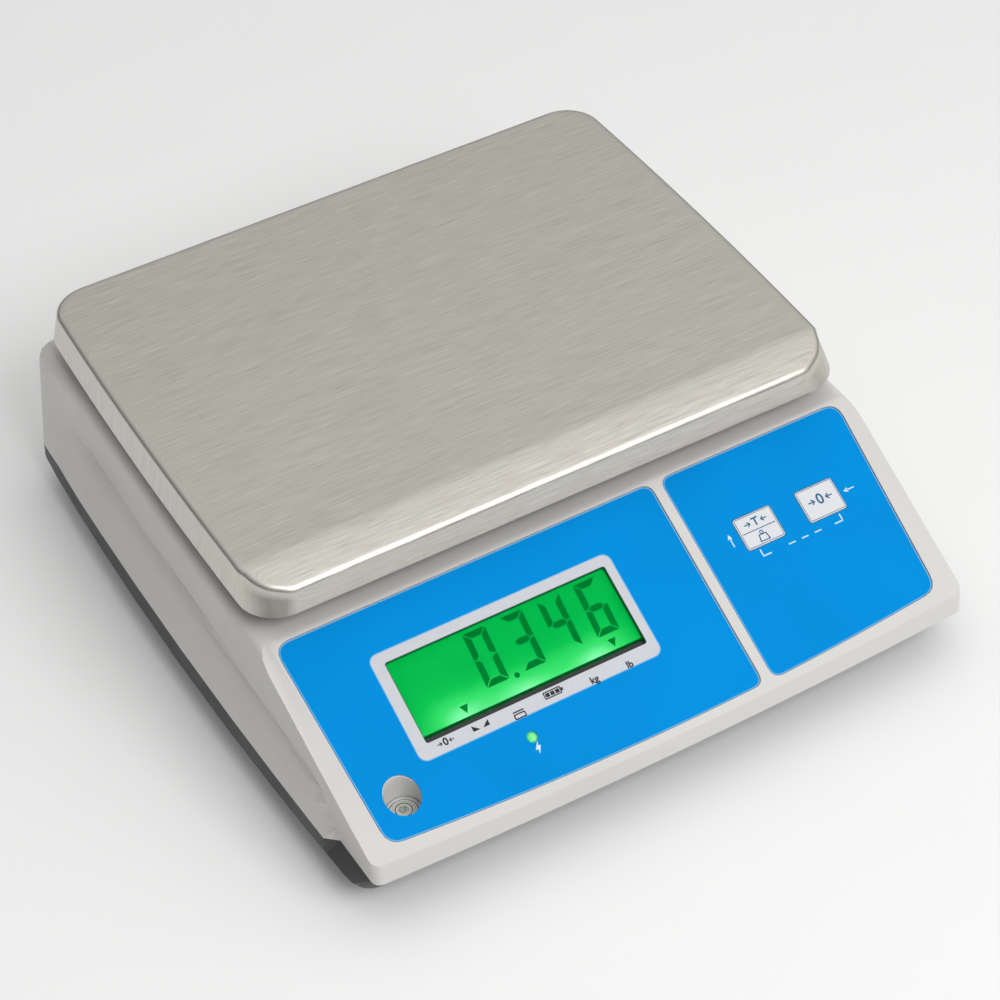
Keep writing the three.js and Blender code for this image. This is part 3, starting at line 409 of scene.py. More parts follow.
def flattened(name, curve, middle, material, at):
    """Turns a flat curve or a text into a mesh in its place."""
    source = bpy.data.objects.new(name + "_outline", curve)
    bpy.context.scene.collection.objects.link(source)
    bpy.context.view_layer.update()
    evaluated = source.evaluated_get(bpy.context.evaluated_depsgraph_get())
    data = bpy.data.meshes.new_from_object(evaluated)
    bpy.data.objects.remove(source)
    bpy.data.curves.remove(curve)
    metres = Matrix.Diagonal((MM, MM, MM, 1)) @ at @ Matrix.Diagonal((1 / MM, 1 / MM, 1 / MM, 1))
    data.transform(metres @ Matrix.Translation((0, 0, middle * MM)))
    data.name = name
    smooth(data)
    return linked(name, data, material)


def ring_faces(levels, count):
    """Faces between rings of points, one ring after the other, with the first and last ring capped."""
    faces = []
    for level in range(levels - 1):
        for i in range(count):
            a, b = level * count + i, level * count + (i + 1) % count
            faces.append((a, b, b + count, a + count))
    faces.append(tuple(range(count)))
    faces.append(tuple(range((levels - 1) * count, levels * count)))
    return faces


AXIS_R = 0.001  # radius that closes a turned profile at its axis


def lathe(name, profile, sides, material, at, ripple=None):
    """A turned piece about Z. ripple(radius, i) changes the radius around it, as knurling does."""
    points = []
    for r, z in profile:
        for i in range(sides):
            radius = ripple(r, i) if ripple else r
            turn = 2 * math.pi * i / sides
            points.append((radius * math.cos(turn), radius * math.sin(turn), z))
    return solid(name, points, ring_faces(len(profile), sides), material, at)


def attach(piece, node_name):
    """The piece rides where a CAD node does and hides nothing."""
    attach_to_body(piece, BODY[node_name])


def place(piece, node_name):
    """The piece rides where a CAD node does and stands for it."""
    attach(piece, node_name)
    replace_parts(piece, node_name)


def refined(node_name, material, width=0.3, segments=2, degrees=32):
    """A CAD node's shape as a piece with rounded edges and even shading."""
    data = frame["nodes"][node_name].data.copy()
    data.name = node_name + "_piece"
    shape = bmesh.new()
    shape.from_mesh(data)
    bmesh.ops.remove_doubles(shape, verts=shape.verts, dist=2e-6)
    bmesh.ops.dissolve_limit(shape, angle_limit=math.radians(0.6), verts=shape.verts, edges=shape.edges,
                             use_dissolve_boundaries=False)
    shape.to_mesh(data)
    shape.free()
    smooth(data, degrees)
    piece = linked(node_name + "_piece", data, material)
    soften(piece, width, segments, degrees)
    place(piece, node_name)


def rounded_rect(w, h, r, x=0.0, y=0.0, steps=6):
    """Outline of a rectangle with rounded corners, centred on x, y."""
    points = []
    for i, (sx, sy) in enumerate([(1, 1), (-1, 1), (-1, -1), (1, -1)]):
        middle_x, middle_y = x + sx * (w / 2 - r), y + sy * (h / 2 - r)
        for k in range(steps + 1):
            turn = math.pi / 2 * (i + k / steps)
            points.append((middle_x + r * math.cos(turn), middle_y + r * math.sin(turn)))
    return points


def circle(r, x=0.0, y=0.0, sides=40):
    turns = [2 * math.pi * i / sides for i in range(sides)]
    return [(x + r * math.cos(turn), y + r * math.sin(turn)) for turn in turns]


def lerp(a, b, t):
    return a + (b - a) * t


def step(t, low, high):
    """Smooth rise from 0 to 1 between two values."""
    t = min(max((t - low) / (high - low), 0), 1)
    return t * t * (3 - 2 * t)


# ------------------------------------------------------------------ fascia
# Its axes: X as the CAD's, Y up the slope from the crest, Z out of the surface.
# Sizes and places are those of the CAD nodes that the pieces stand for.
CREST_Y, DECK, SLOPE = -68.4, 82.0, math.radians(25.4)
FASCIA = Matrix.Translation((0, CREST_Y, DECK)) @ Matrix.Rotation(SLOPE, 4, "X")
LABEL_TOP, LABEL_LENGTH, LABEL_BOW, LABEL_CORNER = -2.8, 99.0, 5.9, 7.5
LABEL_HALF_TOP, LABEL_HALF_BOTTOM = 144.8, 139.8
LABEL_SPLIT = {-1: 43.2, 1: 48.9}  # inner edge of the left and the right label
LABEL_FACE, FILM, FILM_EDGE = -0.5, 0.5, 0.08
PRINT_LOW, PRINT_HIGH, INK = LABEL_FACE + 0.01, LABEL_FACE + 0.05, 0.05
FIT_GAP = 0.3
SEAT_LOW, SEAT_TOP = -4.3, -3.1  # flanges of what sits behind the fascia's wall
WINDOW = {"x": -49.95, "y": LABEL_TOP - 46.05, "w": 110.0, "h": 39.7}
WINDOW_CORNER = 1.2
KEY_W, KEY_H, KEY_Y, KEY_CORNER = 20.0, 16.0, LABEL_TOP - 39.3, 1.4
TARE_X, ZERO_X = 79.2, 112.7
LED_X, LED_Y, LED_R = -62.1, LABEL_TOP - 82.4, 2.2
VIAL_X, VIAL_DOWN, VIAL_R = -124.9, 81.6, 8.2
VIAL_MOUTH = FASCIA @ Vector((VIAL_X, LABEL_TOP - VIAL_DOWN, 0))
EDGE_STEPS, CORNER_STEPS = 24, 8


def lower_edge(x):
    """The labels' lower edge, bowed outwards in the middle."""
    return LABEL_TOP - LABEL_LENGTH - LABEL_BOW * (1 - (x / LABEL_HALF_BOTTOM) ** 2)


def label_outline(side, grow):
    """Outline of the left (-1) or right (1) label, grown by a margin."""
    inner = LABEL_SPLIT[side] - side * grow
    top = LABEL_TOP + grow
    outer = [side * (LABEL_HALF_TOP + grow), side * (LABEL_HALF_BOTTOM + grow)]
    corners = [Vector((inner, top)), Vector((outer[0], top)),
               Vector((outer[1], lower_edge(LABEL_HALF_BOTTOM) - grow)),
               Vector((inner, lower_edge(inner) - grow))]
    radius = [(LABEL_CORNER + grow) * k for k in (0.7, 1, 1, 0.7)]
    ends = []
    for i, corner in enumerate(corners):
        before = corner + (corners[i - 1] - corner).normalized() * radius[i]
        after = corner + (corners[(i + 1) % 4] - corner).normalized() * radius[i]
        ends.append((before, corner, after))
    points = []
    for i, (before, corner, after) in enumerate(ends):
        if i == 3:  # the bowed lower edge leads to the last corner
            start = ends[2][2]
            for k in range(1, EDGE_STEPS):
                t = k / EDGE_STEPS
                x = lerp(start.x, before.x, t)
                sag = lower_edge(x) - lerp(lower_edge(start.x), lower_edge(before.x), t)
                points.append((x, lerp(start.y, before.y, t) + sag))
        for k in range(CORNER_STEPS + 1):
            t = k / CORNER_STEPS
            q = before.lerp(corner, t).lerp(corner.lerp(after, t), t)
            points.append((q.x, q.y))
    return points


def vial_ellipse(r):
    """Where the upright well of the level vial meets the sloping fascia."""
    y = LABEL_TOP - VIAL_DOWN
    return [(VIAL_X + px, y + py / math.cos(SLOPE)) for px, py in circle(r)]


def key_outline(x, grow):
    """Outline of the key at x, grown by a margin."""
    return rounded_rect(KEY_W + 2 * grow, KEY_H + 2 * grow, KEY_CORNER + grow, x, KEY_Y)


def window_outline(grow):
    """Outline of the display's opening, grown by a margin."""
    w, h = WINDOW["w"] + 2 * grow, WINDOW["h"] + 2 * grow
    return rounded_rect(w, h, WINDOW_CORNER, WINDOW["x"], WINDOW["y"])


def slab(name, loops, low, high, material, bevel=0.0, resolution=2):
    """A plate in the fascia's axes, between two heights from its surface."""
    return plate(name, loops, low, high, material, FASCIA, bevel, resolution)


def mark(name, loops, material, node_name, low=PRINT_HIGH):
    """Raised ink on a CAD node's face."""
    attach(slab(name, loops, low, low + INK, material), node_name)


LETTER_SIZE = 1.38  # font size for one unit of digit height
LETTER_WEIGHT = 0.12
LETTER_HALF_INK = 0.03


def letter(name, text, x, y, height, material, node_name, low=PRINT_HIGH):
    """A digit or a short unit as raised ink, centred on x, y."""
    curve = bpy.data.curves.new(name, "FONT")
    curve.body = text
    curve.size = height * LETTER_SIZE * MM
    curve.align_x = "CENTER"
    curve.align_y = "CENTER"
    curve.offset = LETTER_WEIGHT * MM
    curve.extrude = LETTER_HALF_INK * MM
    at = FASCIA @ Matrix.Translation((x, y, 0))
    attach(flattened(name, curve, low + LETTER_HALF_INK, material, at), node_name)


def bar(x0, y0, x1, y1, width):
    """Outline of a straight stroke."""
    a, b = Vector((x0, y0)), Vector((x1, y1))
    off = (b - a).normalized().orthogonal() * width / 2
    return [tuple(p) for p in (a + off, b + off, b - off, a - off)]


def arrow_head(x, y, dx, dy, length, width):
    """Triangle whose point is at x, y and that points along dx, dy."""
    aim = Vector((dx, dy)).normalized()
    off = aim.orthogonal() * width / 2
    tail = Vector((x, y)) - aim * length
    return [(x, y), tuple(tail + off), tuple(tail - off)]


def pinch_arrows(name, x, y, gap, size, material, node_name, low=PRINT_HIGH):
    """Two small arrows pointing at what lies between them."""
    width, barb_x, barb_y = size * 0.18, size * 0.45, size * 0.38
    for side, hand in ((-1, "left"), (1, "right")):
        tip = x + side * gap
        strokes = {
            "shaft": bar(tip + side * size, y, tip, y, width),
            "upper": bar(tip + side * barb_x, y + barb_y, tip, y, width),
            "lower": bar(tip + side * barb_x, y - barb_y, tip, y, width),
        }
        for part, loop in strokes.items():
            mark(f"{name}_{hand}_{part}", [loop], material, node_name, low)


# ------------------------------------------------------------------ pan
# An upturned tray: its sides lean in by the flare towards the top and bow out by PAN_BOW,
# and the top falls by PAN_FALL over the last stretch before the front edge.
PAN_Y, PAN_TOP, PAN_RIM = 48.2, 109.8, 92.8
PAN_HALF_WIDTH, PAN_BOW, PAN_HALF_DEPTH, PAN_CORNER = 149.9, 2.5, 118.1, 19.0
PAN_FLARE, PAN_FRONT_FLARE, PAN_BEND, PAN_SHEET = 2.7, 2.7, 2.6, 1.4
PAN_FALL, PAN_FALL_LENGTH = 6.0, 18.5
PAN_CORNER_TUCK, PAN_LIP = 1.2, 0.35
PAN_CORNER_STEPS, PAN_SIDE_STEPS, PAN_BEND_STEPS = 14, 30, 6
# Shares of the top's outline at which it has a ring of points, closer together near the edge
PAN_TOP_RINGS = (0.985, 0.97, 0.955, 0.94, 0.92, 0.9, 0.88, 0.86, 0.84, 0.8, 0.6, 0.3)


def corner_tuck(rise, front_share):
    """How far a front corner's upper edge is pressed in: abrupt at the side, fading at the front."""
    return PAN_CORNER_TUCK * rise ** 2 * step(front_share, 0, 0.14) * (1 - step(front_share, 0.7, 1))


def pan_outline(rise, inset):
    """The pan's outline at a share of its height, moved inwards."""
    r = max(PAN_CORNER - inset, 2)
    back = PAN_HALF_DEPTH - inset - PAN_FLARE * rise
    front = PAN_HALF_DEPTH - inset - PAN_FRONT_FLARE * rise

    def side(y):
        return PAN_HALF_WIDTH - inset - PAN_FLARE * rise + PAN_BOW * (1 - (y / PAN_HALF_DEPTH) ** 2)

    points = []
    for quarter, (sx, sy) in enumerate([(1, -1), (1, 1), (-1, 1), (-1, -1)]):
        reach = front if sy < 0 else back
        x, y = sx * (side(reach - r) - r), sy * (reach - r)
        for k in range(PAN_CORNER_STEPS + 1):
            share = k / PAN_CORNER_STEPS
            turn = math.pi / 2 * (quarter - 1 + share)
            radius = r
            if sy < 0:
                radius -= corner_tuck(rise, 1 - share if sx > 0 else share)
            points.append((x + radius * math.cos(turn), PAN_Y + y + radius * math.sin(turn)))
        for k in range(1, PAN_SIDE_STEPS):
            share = k / PAN_SIDE_STEPS
            if sx == sy:
                points.append((lerp(x, -x, share), PAN_Y + y + sy * r))
            else:
                start, end = (front, back) if sx > 0 else (back, front)
                dy = lerp(r - start, end - r, share)
                points.append((sx * side(dy), PAN_Y + sx * dy))
    return points


def pan_height(y):
    """Top of the pan at a depth: flat, then a gentle fall towards the front edge."""
    front = PAN_Y - PAN_HALF_DEPTH + PAN_FRONT_FLARE
    t = min(max((front + PAN_FALL_LENGTH - y) / PAN_FALL_LENGTH, 0), 1)
    return PAN_TOP - PAN_FALL * t ** 1.35


def pan_rings(thick):
    """Rings from the rim up the skirt, round the bend and in to the middle, thick below the outside."""
    rings = []
    for rise in (0, 0.25, 0.5, 0.75):
        outline = pan_outline(rise, thick)
        rings.append([(x, y, lerp(PAN_RIM, pan_height(y) - thick - PAN_BEND, rise)) for x, y in outline])
    for k in range(PAN_BEND_STEPS + 1):
        turn = math.pi / 2 * k / PAN_BEND_STEPS
        outline = pan_outline(1, thick + PAN_BEND * (1 - math.cos(turn)))
        drop = thick + PAN_BEND * (1 - math.sin(turn))
        rings.append([(x, y, pan_height(y) - drop) for x, y in outline])
    last = pan_outline(1, thick + PAN_BEND)
    for k in PAN_TOP_RINGS:
        shrunk = [(x * k, PAN_Y + (y - PAN_Y) * k) for x, y in last]
        rings.append([(x, y, pan_height(y) - thick) for x, y in shrunk])
    return rings


def make_pan():
    """One folded sheet: outside, rounded lip at the rim, and inside."""
    outside, inside = pan_rings(0), pan_rings(PAN_SHEET)
    for ring in (outside[0], inside[0]):
        ring[:] = [(x, y, PAN_RIM + PAN_LIP) for x, y, z in ring]
    insets = (PAN_LIP, PAN_SHEET - PAN_LIP)
    lip = [[(x, y, PAN_RIM) for x, y in pan_outline(0, inset)] for inset in insets]
    rings = list(reversed(outside)) + lip + inside
    points = [point for ring in rings for point in ring]
    faces = ring_faces(len(rings), len(outside[0]))
    place(solid("pan_shell", points, faces, STAINLESS, degrees=50), "pan")


make_pan()

# ------------------------------------------------------------------ housings
refined("top_housing", SHELL_PLASTIC, width=0.8, segments=3, degrees=30)
refined("bottom_housing", BASE_PLASTIC, width=0.7, degrees=30)


# ------------------------------------------------------------------ labels
def make_labels():
    """Two printed films, each with a thin lighter line near its edges that is a painted highlight."""
    display_holes = [window_outline(0), circle(LED_R + FIT_GAP, LED_X, LED_Y), vial_ellipse(VIAL_R)]
    keypad_holes = [key_outline(TARE_X, FIT_GAP), key_outline(ZERO_X, FIT_GAP)]
    for name, side, holes in (("display", -1, display_holes), ("keypad", 1, keypad_holes)):
        loops = [label_outline(side, 0), *holes]
        film = slab(f"{name}_film", loops, LABEL_FACE - FILM, LABEL_FACE, BLUE_FILM, FILM_EDGE)
        place(film, f"{name}_label")
    # The thin lighter line just inside each label's edge is a painted highlight of the edge.
    for side, node_name in ((-1, "display_label"), (1, "keypad_label")):
        loops = [label_outline(side, -0.1), label_outline(side, -0.5)]
        line = slab(f"{node_name}_painted_edge_highlight", loops, LABEL_FACE, LABEL_FACE + 0.03, EDGE_INK_AND_HIGHLIGHT)
        attach(line, node_name)


make_labels()

# The pale surround printed round the window
FRAME_BOX = {"left": -110.9, "right": 9.6, "top": -23.6, "bottom": -76.0}
FRAME_CORNER, FRAME_LINE = 4.2, 0.45
# Middles of the symbols in the row under the window, and the bolt's outline
ICON_Y = -71.4
ZERO_ICON_X, STEADY_X, NET_X, CELL_X, KG_X, LB_X = -97.1, -80.1, -62.2, -44.6, -24.8, -7.1
BOLT = [(-62.6, -93.3), (-60.4, -89.7), (-61.6, -89.7), (-60.9, -87.4), (-63.6, -91.1), (-62.3, -91.1)]


def make_display_print():
    """Pale surround of the window, with a thin line at its outer edge."""
    w, h = FRAME_BOX["right"] - FRAME_BOX["left"], FRAME_BOX["top"] - FRAME_BOX["bottom"]
    x, y = (FRAME_BOX["right"] + FRAME_BOX["left"]) / 2, (FRAME_BOX["top"] + FRAME_BOX["bottom"]) / 2
    outer = rounded_rect(w, h, FRAME_CORNER, x, y)
    inner = rounded_rect(w - 2 * FRAME_LINE, h - 2 * FRAME_LINE, FRAME_CORNER - 0.4, x, y)
    surround = slab("display_surround", [outer, window_outline(0.05)], PRINT_LOW, PRINT_HIGH, PALE_INK)
    attach(surround, "display_label")
    line = slab("display_surround_edge", [outer, inner], PRINT_HIGH, PRINT_HIGH + 0.02, EDGE_INK_AND_HIGHLIGHT)
    attach(line, "display_label")


make_display_print()


def make_status_row():
    """Zero, steady, net, battery and unit symbols, and the bolt beside the charge lamp."""
    def shown(name, *loops):
        mark(name, loops, DARK_INK, "display_label")

    letter("zero_icon_digit", "0", ZERO_ICON_X, ICON_Y, 3.4, DARK_INK, "display_label")
    pinch_arrows("zero_icon", ZERO_ICON_X, ICON_Y, 1.8, 2.2, DARK_INK, "display_label")
    for side, hand in ((-1, "left"), (1, "right")):
        x = STEADY_X + side * 2.5
        thin, thick = x - side * 1.8, x + side * 1.5
        shown(f"steady_icon_{hand}", [(thin, ICON_Y - 1.2), (thick, ICON_Y - 1.2), (thick, ICON_Y + 1.5)])
    tray_y, lid_y = ICON_Y - 3.1, ICON_Y - 1.0
    tray = [rounded_rect(5.6, 2.6, 0.5, NET_X, tray_y), rounded_rect(4.5, 1.5, 0.2, NET_X, tray_y)]
    shown("net_icon", *tray)
    shown("net_icon_bar", bar(NET_X - 2.6, lid_y, NET_X + 2.6, lid_y, 0.6))
    case = [rounded_rect(8.4, 3.4, 0.4, CELL_X, ICON_Y), rounded_rect(7.4, 2.4, 0.2, CELL_X, ICON_Y)]
    shown("cell_icon", *case)
    for i in range(3):
        shown(f"cell_icon_bar_{i + 1}", rounded_rect(1.9, 1.8, 0.2, CELL_X + 2.4 * (i - 1), ICON_Y))
    shown("cell_icon_tip", rounded_rect(0.9, 1.5, 0.2, CELL_X + 4.7, ICON_Y))
    letter("unit_kg", "kg", KG_X, ICON_Y - 2.5, 3.2, DARK_INK, "display_label")
    letter("unit_lb", "lb", LB_X, ICON_Y - 2.9, 3.2, DARK_INK, "display_label")
    mark("charge_icon", [BOLT], WHITE_INK, "display_label", PRINT_LOW)


make_status_row()


# Guide marks: corner brackets from GUIDE_TOP down to GUIDE_FOOT, arrows at UP_X and LEFT_Y, dashes
GUIDE_INK, GUIDE_THIN = 0.6, 0.55
GUIDE_TOP, GUIDE_FOOT, GUIDE_ARM = -51.4, -54.8, 4.3
UP_X, LEFT_Y = 64.2, -42.6
DASH_X, DASH_Y, DASH, DASH_PITCH = 88.0, -54.6, 3.6, 7


def make_keypad_print():
    """Guide marks round the keys: two corners, two arrows and a dashed line."""
    def shown(name, loop):
        mark(name, [loop], WHITE_INK, "keypad_label", PRINT_LOW)

    for hand, x, inwards in (("left", 74.3, 1), ("right", 117.2, -1)):
        shown(f"corner_{hand}_down", bar(x, GUIDE_TOP, x, GUIDE_FOOT - 0.2, GUIDE_INK))
        start, end = x - inwards * 0.3, x + inwards * GUIDE_ARM
        shown(f"corner_{hand}_along", bar(start, GUIDE_FOOT, end, GUIDE_FOOT, GUIDE_INK))
    shown("guide_up", bar(UP_X, -45.6, UP_X, -41.0, GUIDE_THIN))
    shown("guide_left", bar(130.6, LEFT_Y, 126.5, LEFT_Y, GUIDE_THIN))
    shown("guide_up_head", arrow_head(UP_X, -39.2, 0, 1, 2.3, 2.3))
    shown("guide_left_head", arrow_head(124.9, LEFT_Y, -1, 0, 2.3, 2.3))
    for i in range(3):
        x = DASH_X + DASH_PITCH * i
        shown(f"limit_dash_{i + 1}", bar(x, DASH_Y, x + DASH, DASH_Y, GUIDE_THIN))


make_keypad_print()


# ------------------------------------------------------------------ keys
KEY_FOOT, KEY_TOP = -3.8, -0.22
FLANGE_WIDTH = 1.5


def make_key(name, x):
    """Cap and flange with softened edges, and a printed outline near the cap's edge."""
    node_name = f"{name}_key"
    cap = slab(f"{name}_cap", [key_outline(x, 0)], KEY_FOOT, KEY_TOP, KEY_PLASTIC, 0.25, 3)
    place(cap, node_name)
    skirt = rounded_rect(KEY_W + 2 * FLANGE_WIDTH, KEY_H + 2 * FLANGE_WIDTH, 2, x, KEY_Y)
    attach(slab(f"{name}_flange", [skirt], SEAT_LOW, SEAT_TOP - 0.02, KEY_PLASTIC, 0.2), node_name)
    outline = [key_outline(x, -0.45), key_outline(x, -0.75)]
    attach(slab(f"{name}_outline", outline, KEY_TOP - 0.01, KEY_TOP + 0.03, BLUE_INK), node_name)


for key_name, key_x in (("tare", TARE_X), ("zero", ZERO_X)):
    make_key(key_name, key_x)


def trapezoid(x, top, foot, half_top, half_foot):
    """Outline of a shape with level top and foot, even about x."""
    return [(x - half_top, top), (x + half_top, top), (x + half_foot, foot), (x - half_foot, foot)]


def make_key_symbols():
    """T between arrows over a divider and a small weight, and 0 between arrows."""
    def shown(name, *loops):
        mark(name, loops, BLUE_INK, "tare_key", KEY_TOP)

    tare_y, zero_y = KEY_Y + 3.4, KEY_Y + 0.6
    letter("tare_letter", "T", TARE_X, tare_y, 4.0, BLUE_INK, "tare_key", KEY_TOP)
    pinch_arrows("tare_symbol", TARE_X, tare_y, 2.9, 3.0, BLUE_INK, "tare_key", KEY_TOP)
    shown("tare_divider", bar(TARE_X - 8.6, KEY_Y - 0.2, TARE_X + 8.6, KEY_Y - 0.2, 0.4))
    weight = trapezoid(TARE_X, KEY_Y - 2.9, KEY_Y - 6.6, 2.0, 2.7)
    hollow = trapezoid(TARE_X, KEY_Y - 3.4, KEY_Y - 6.1, 1.5, 2.0)
    shown("unit_weight_icon", weight, hollow)
    shown("unit_weight_knob", circle(1.0, TARE_X, KEY_Y - 2.1, 20), circle(0.55, TARE_X, KEY_Y - 2.1, 20))
    letter("zero_digit", "0", ZERO_X, zero_y, 5.2, BLUE_INK, "zero_key", KEY_TOP)
    pinch_arrows("zero_symbol", ZERO_X, zero_y, 3.0, 3.4, BLUE_INK, "zero_key", KEY_TOP)


make_key_symbols()

# ------------------------------------------------------------------ display
PANEL_TOP, PANEL_THICK = -4.6, 2.2
SEGMENT_LOW = PANEL_TOP + 0.03
LAMP_REACH = 0.024  # metres


def make_display():
    """LCD lit from behind, the window pane over it, and what lines the opening in the film, with painted
    light on the opening's walls and painted shadow along its lower edge.
    """
    def spot(x, down):
        return tuple((FASCIA @ Vector((x, LABEL_TOP - down, PANEL_TOP))) * MM)

    def wide(grow_x, grow_y):
        return rounded_rect(WINDOW["w"] + grow_x, WINDOW["h"] + grow_y, 1, WINDOW["x"], WINDOW["y"])

    lamps = [spot(-83.9, 61.2), spot(-52.1, 62.6), spot(-17.0, 62.0)]
    glow = lit_panel("backlit_display", lamps, linear(0, 172, 70), linear(60, 224, 112), LAMP_REACH)
    panel = slab("lcd_sandwich", [wide(4, 5)], PANEL_TOP - PANEL_THICK, PANEL_TOP, glow, 0.15)
    place(panel, "lcd_panel")
    place(slab("window_pane", [wide(6, 6)], SEAT_LOW, SEAT_TOP, WINDOW_GLASS, 0.12), "lcd_window")
    gasket = [window_outline(-0.02), window_outline(-0.3)]
    gasket_low = LABEL_FACE - 0.3
    attach(slab("window_gasket", gasket, gasket_low, LABEL_FACE - 0.02, BLACK, 0.05), "display_label")
    # The opening's walls are lined in the panel's green: painted light from the backlit panel.
    liner = [window_outline(-0.02), window_outline(-0.25)]
    liner_low, liner_top = SEAT_TOP + 0.02, gasket_low - 0.02
    attach(slab("window_liner", liner, liner_low, liner_top, LIT_WALL, 0.02), "display_label")
    window_foot = WINDOW["y"] - WINDOW["h"] / 2
    # A black strip along the window's lower edge, under the film: painted shadow of the film's edge.
    shadow_strip = rounded_rect(WINDOW["w"] - 0.1, 2.25, 1.1, WINDOW["x"], window_foot + 1.18)
    attach(slab("window_shadow_strip", [shadow_strip], SEAT_TOP + 0.05, SEAT_TOP + 0.4, BLACK, 0.05), "display_label")
    # A dark green band on the panel along the window's lower edge: painted shadow of the film's edge.
    shade = rounded_rect(WINDOW["w"] + 3.4, 6.3, 0.4, WINDOW["x"], window_foot + 1.0)
    attach(slab("panel_painted_shadow", [shade], PANEL_TOP + 0.01, PANEL_TOP + 0.03, PAINTED_SHADOW_GREEN), "lcd_panel")


make_display()

# Seven-bar digits: bars a to f run clockwise from the top one, and g is the middle one
DIGIT_W, DIGIT_H, DIGIT_PITCH, DIGIT_LEAN = 11.1, 26.1, 18.6, 1.3
DIGIT_STROKE, DIGIT_GAP = 3.0, 0.35
DIGIT_X, DIGIT_FOOT = -68.2, LABEL_TOP - 53.9
READING = "0346"
LIT = {"0": "abcdef", "3": "abcdg", "4": "bcfg", "6": "acdefg"}


def segment_outline(kind):
    """One bar of a seven-bar digit, with mitred ends, in the digit's own box."""
    w, h, t, gap = DIGIT_W, DIGIT_H, DIGIT_STROKE, DIGIT_GAP
    mid = h / 2
    across = [(gap, h), (w - gap, h), (w - t - gap, h - t), (t + gap, h - t)]
    upright = [(w, h - gap), (w, mid + gap), (w - t / 2, mid + gap), (w - t, mid + t / 2 + gap),
               (w - t, h - t - gap)]
    middle = [(gap + t / 2, mid), (t + gap, mid + t / 2), (w - t - gap, mid + t / 2),
              (w - t / 2 - gap, mid), (w - t - gap, mid - t / 2), (t + gap, mid - t / 2)]
    shapes = {
        "a": across, "b": upright, "g": middle,
        "c": [(x, h - y) for x, y in upright], "d": [(x, h - y) for x, y in across],
        "e": [(w - x, h - y) for x, y in upright], "f": [(w - x, y) for x, y in upright],
    }
    return shapes[kind]


def make_digits():
    """The dark bars of the reading, its decimal point and the two pointers at the units."""
    for i, digit in enumerate(READING):
        x0 = DIGIT_X + i * DIGIT_PITCH
        for kind in LIT[digit]:
            loop = [(x0 + x + DIGIT_LEAN * y / DIGIT_H, DIGIT_FOOT + y) for x, y in segment_outline(kind)]
            mark(f"digit_{i + 1}_bar_{kind}", [loop], SEGMENT, "lcd_panel", SEGMENT_LOW)
    dot = circle(1.25, -53.4, LABEL_TOP - 54.0, 24)
    mark("decimal_point", [dot], SEGMENT, "lcd_panel", SEGMENT_LOW)
    for i, (x, down) in enumerate(((-81.3, 58.2), (-7.2, 58.4))):
        y = LABEL_TOP - down
        loop = [(x - 2.0, y + 1.9), (x + 2.0, y + 1.9), (x, y - 2.1)]
        mark(f"pointer_{i + 1}", [loop], SEGMENT, "lcd_panel", SEGMENT_LOW)


make_digits()


# ------------------------------------------------------------------ charge lamp and level vial
def make_lamp():
    """Domed green lens of the charge lamp, lit faintly."""
    s = Shader("lamp_lens_finish", 0.25, Transmission_Weight=0.2)
    dim, mid, bright = linear(60, 196, 110), linear(110, 220, 140), linear(190, 245, 190)
    glow = s.shades(s.noise(700, 2), [(0.3, dim), (0.6, mid), (0.8, bright)])
    s.feed("Base Color", glow)
    s.feed("Emission Color", glow)
    s.main.inputs["Emission Strength"].default_value = 0.4
    r = LED_R
    flange = [(AXIS_R, SEAT_LOW), (r + 1.3, SEAT_LOW), (r + 1.3, SEAT_TOP), (r, SEAT_TOP)]
    dome = [(r, -1.2), (r * 0.93, -0.8), (r * 0.75, -0.5), (r * 0.45, -0.3), (AXIS_R, -0.22)]
    at = FASCIA @ Matrix.Translation((LED_X, LED_Y, 0))
    place(lathe("charge_lens", flange + dome, 36, s.material, at), "charge_led")


make_lamp()


# Profiles and rings from the underside of the level vial
VIAL_CUP = [(AXIS_R, 0), (7.8, 0), (7.8, 3.9), (7.5, 4.2), (6.9, 4.2), (6.6, 3.9), (6.6, 1.2), (AXIS_R, 1.2)]
VIAL_DOME = [(AXIS_R, 1.5), (6.2, 1.5), (6.2, 4.0), (5.9, 4.25), (4.5, 4.55), (2.5, 4.75), (AXIS_R, 4.8)]
VIAL_BUBBLE = [(AXIS_R, 4.7), (2.3, 4.7), (2.2, 4.84), (1.6, 4.95), (AXIS_R, 5.0)]
VIAL_RINGS = (("vial_ring", 3.8, 4.62, DARK_INK), ("vial_rim_ring", 5.7, 4.3, PALE_INK))


def make_vial():
    """Round level at the bottom of its well: white cup, domed glass, two rings and the bubble."""
    base_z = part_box("level_vial")[0].z / MM
    at = Matrix.Translation((VIAL_MOUTH.x, VIAL_MOUTH.y, base_z))
    place(lathe("vial_cup", VIAL_CUP, 48, VIAL_WHITE, at), "level_vial")
    glass = Shader("vial_glass_finish", 0.05, Coat_Weight=0.6)
    glass.tint(glass.noise(60, 2), [(0.3, linear(176, 180, 170)), (0.7, linear(200, 204, 194))])
    glass.gloss(glass.noise(200, 2), 0.04, 0.1)
    place(lathe("vial_dome", VIAL_DOME, 48, glass.material, at), "level_vial_glass")
    for name, r, z, material in VIAL_RINGS:
        ring = [circle(r, 0, 0, 48), circle(r - 0.35, 0, 0, 48)]
        attach(plate(name, ring, z, z + 0.06, material, at), "level_vial")
    bubble_glass = clear_glass("bubble_glass", (0.95, 0.97, 0.93))
    attach(lathe("vial_bubble", VIAL_BUBBLE, 32, bubble_glass, at), "level_vial")


make_vial()


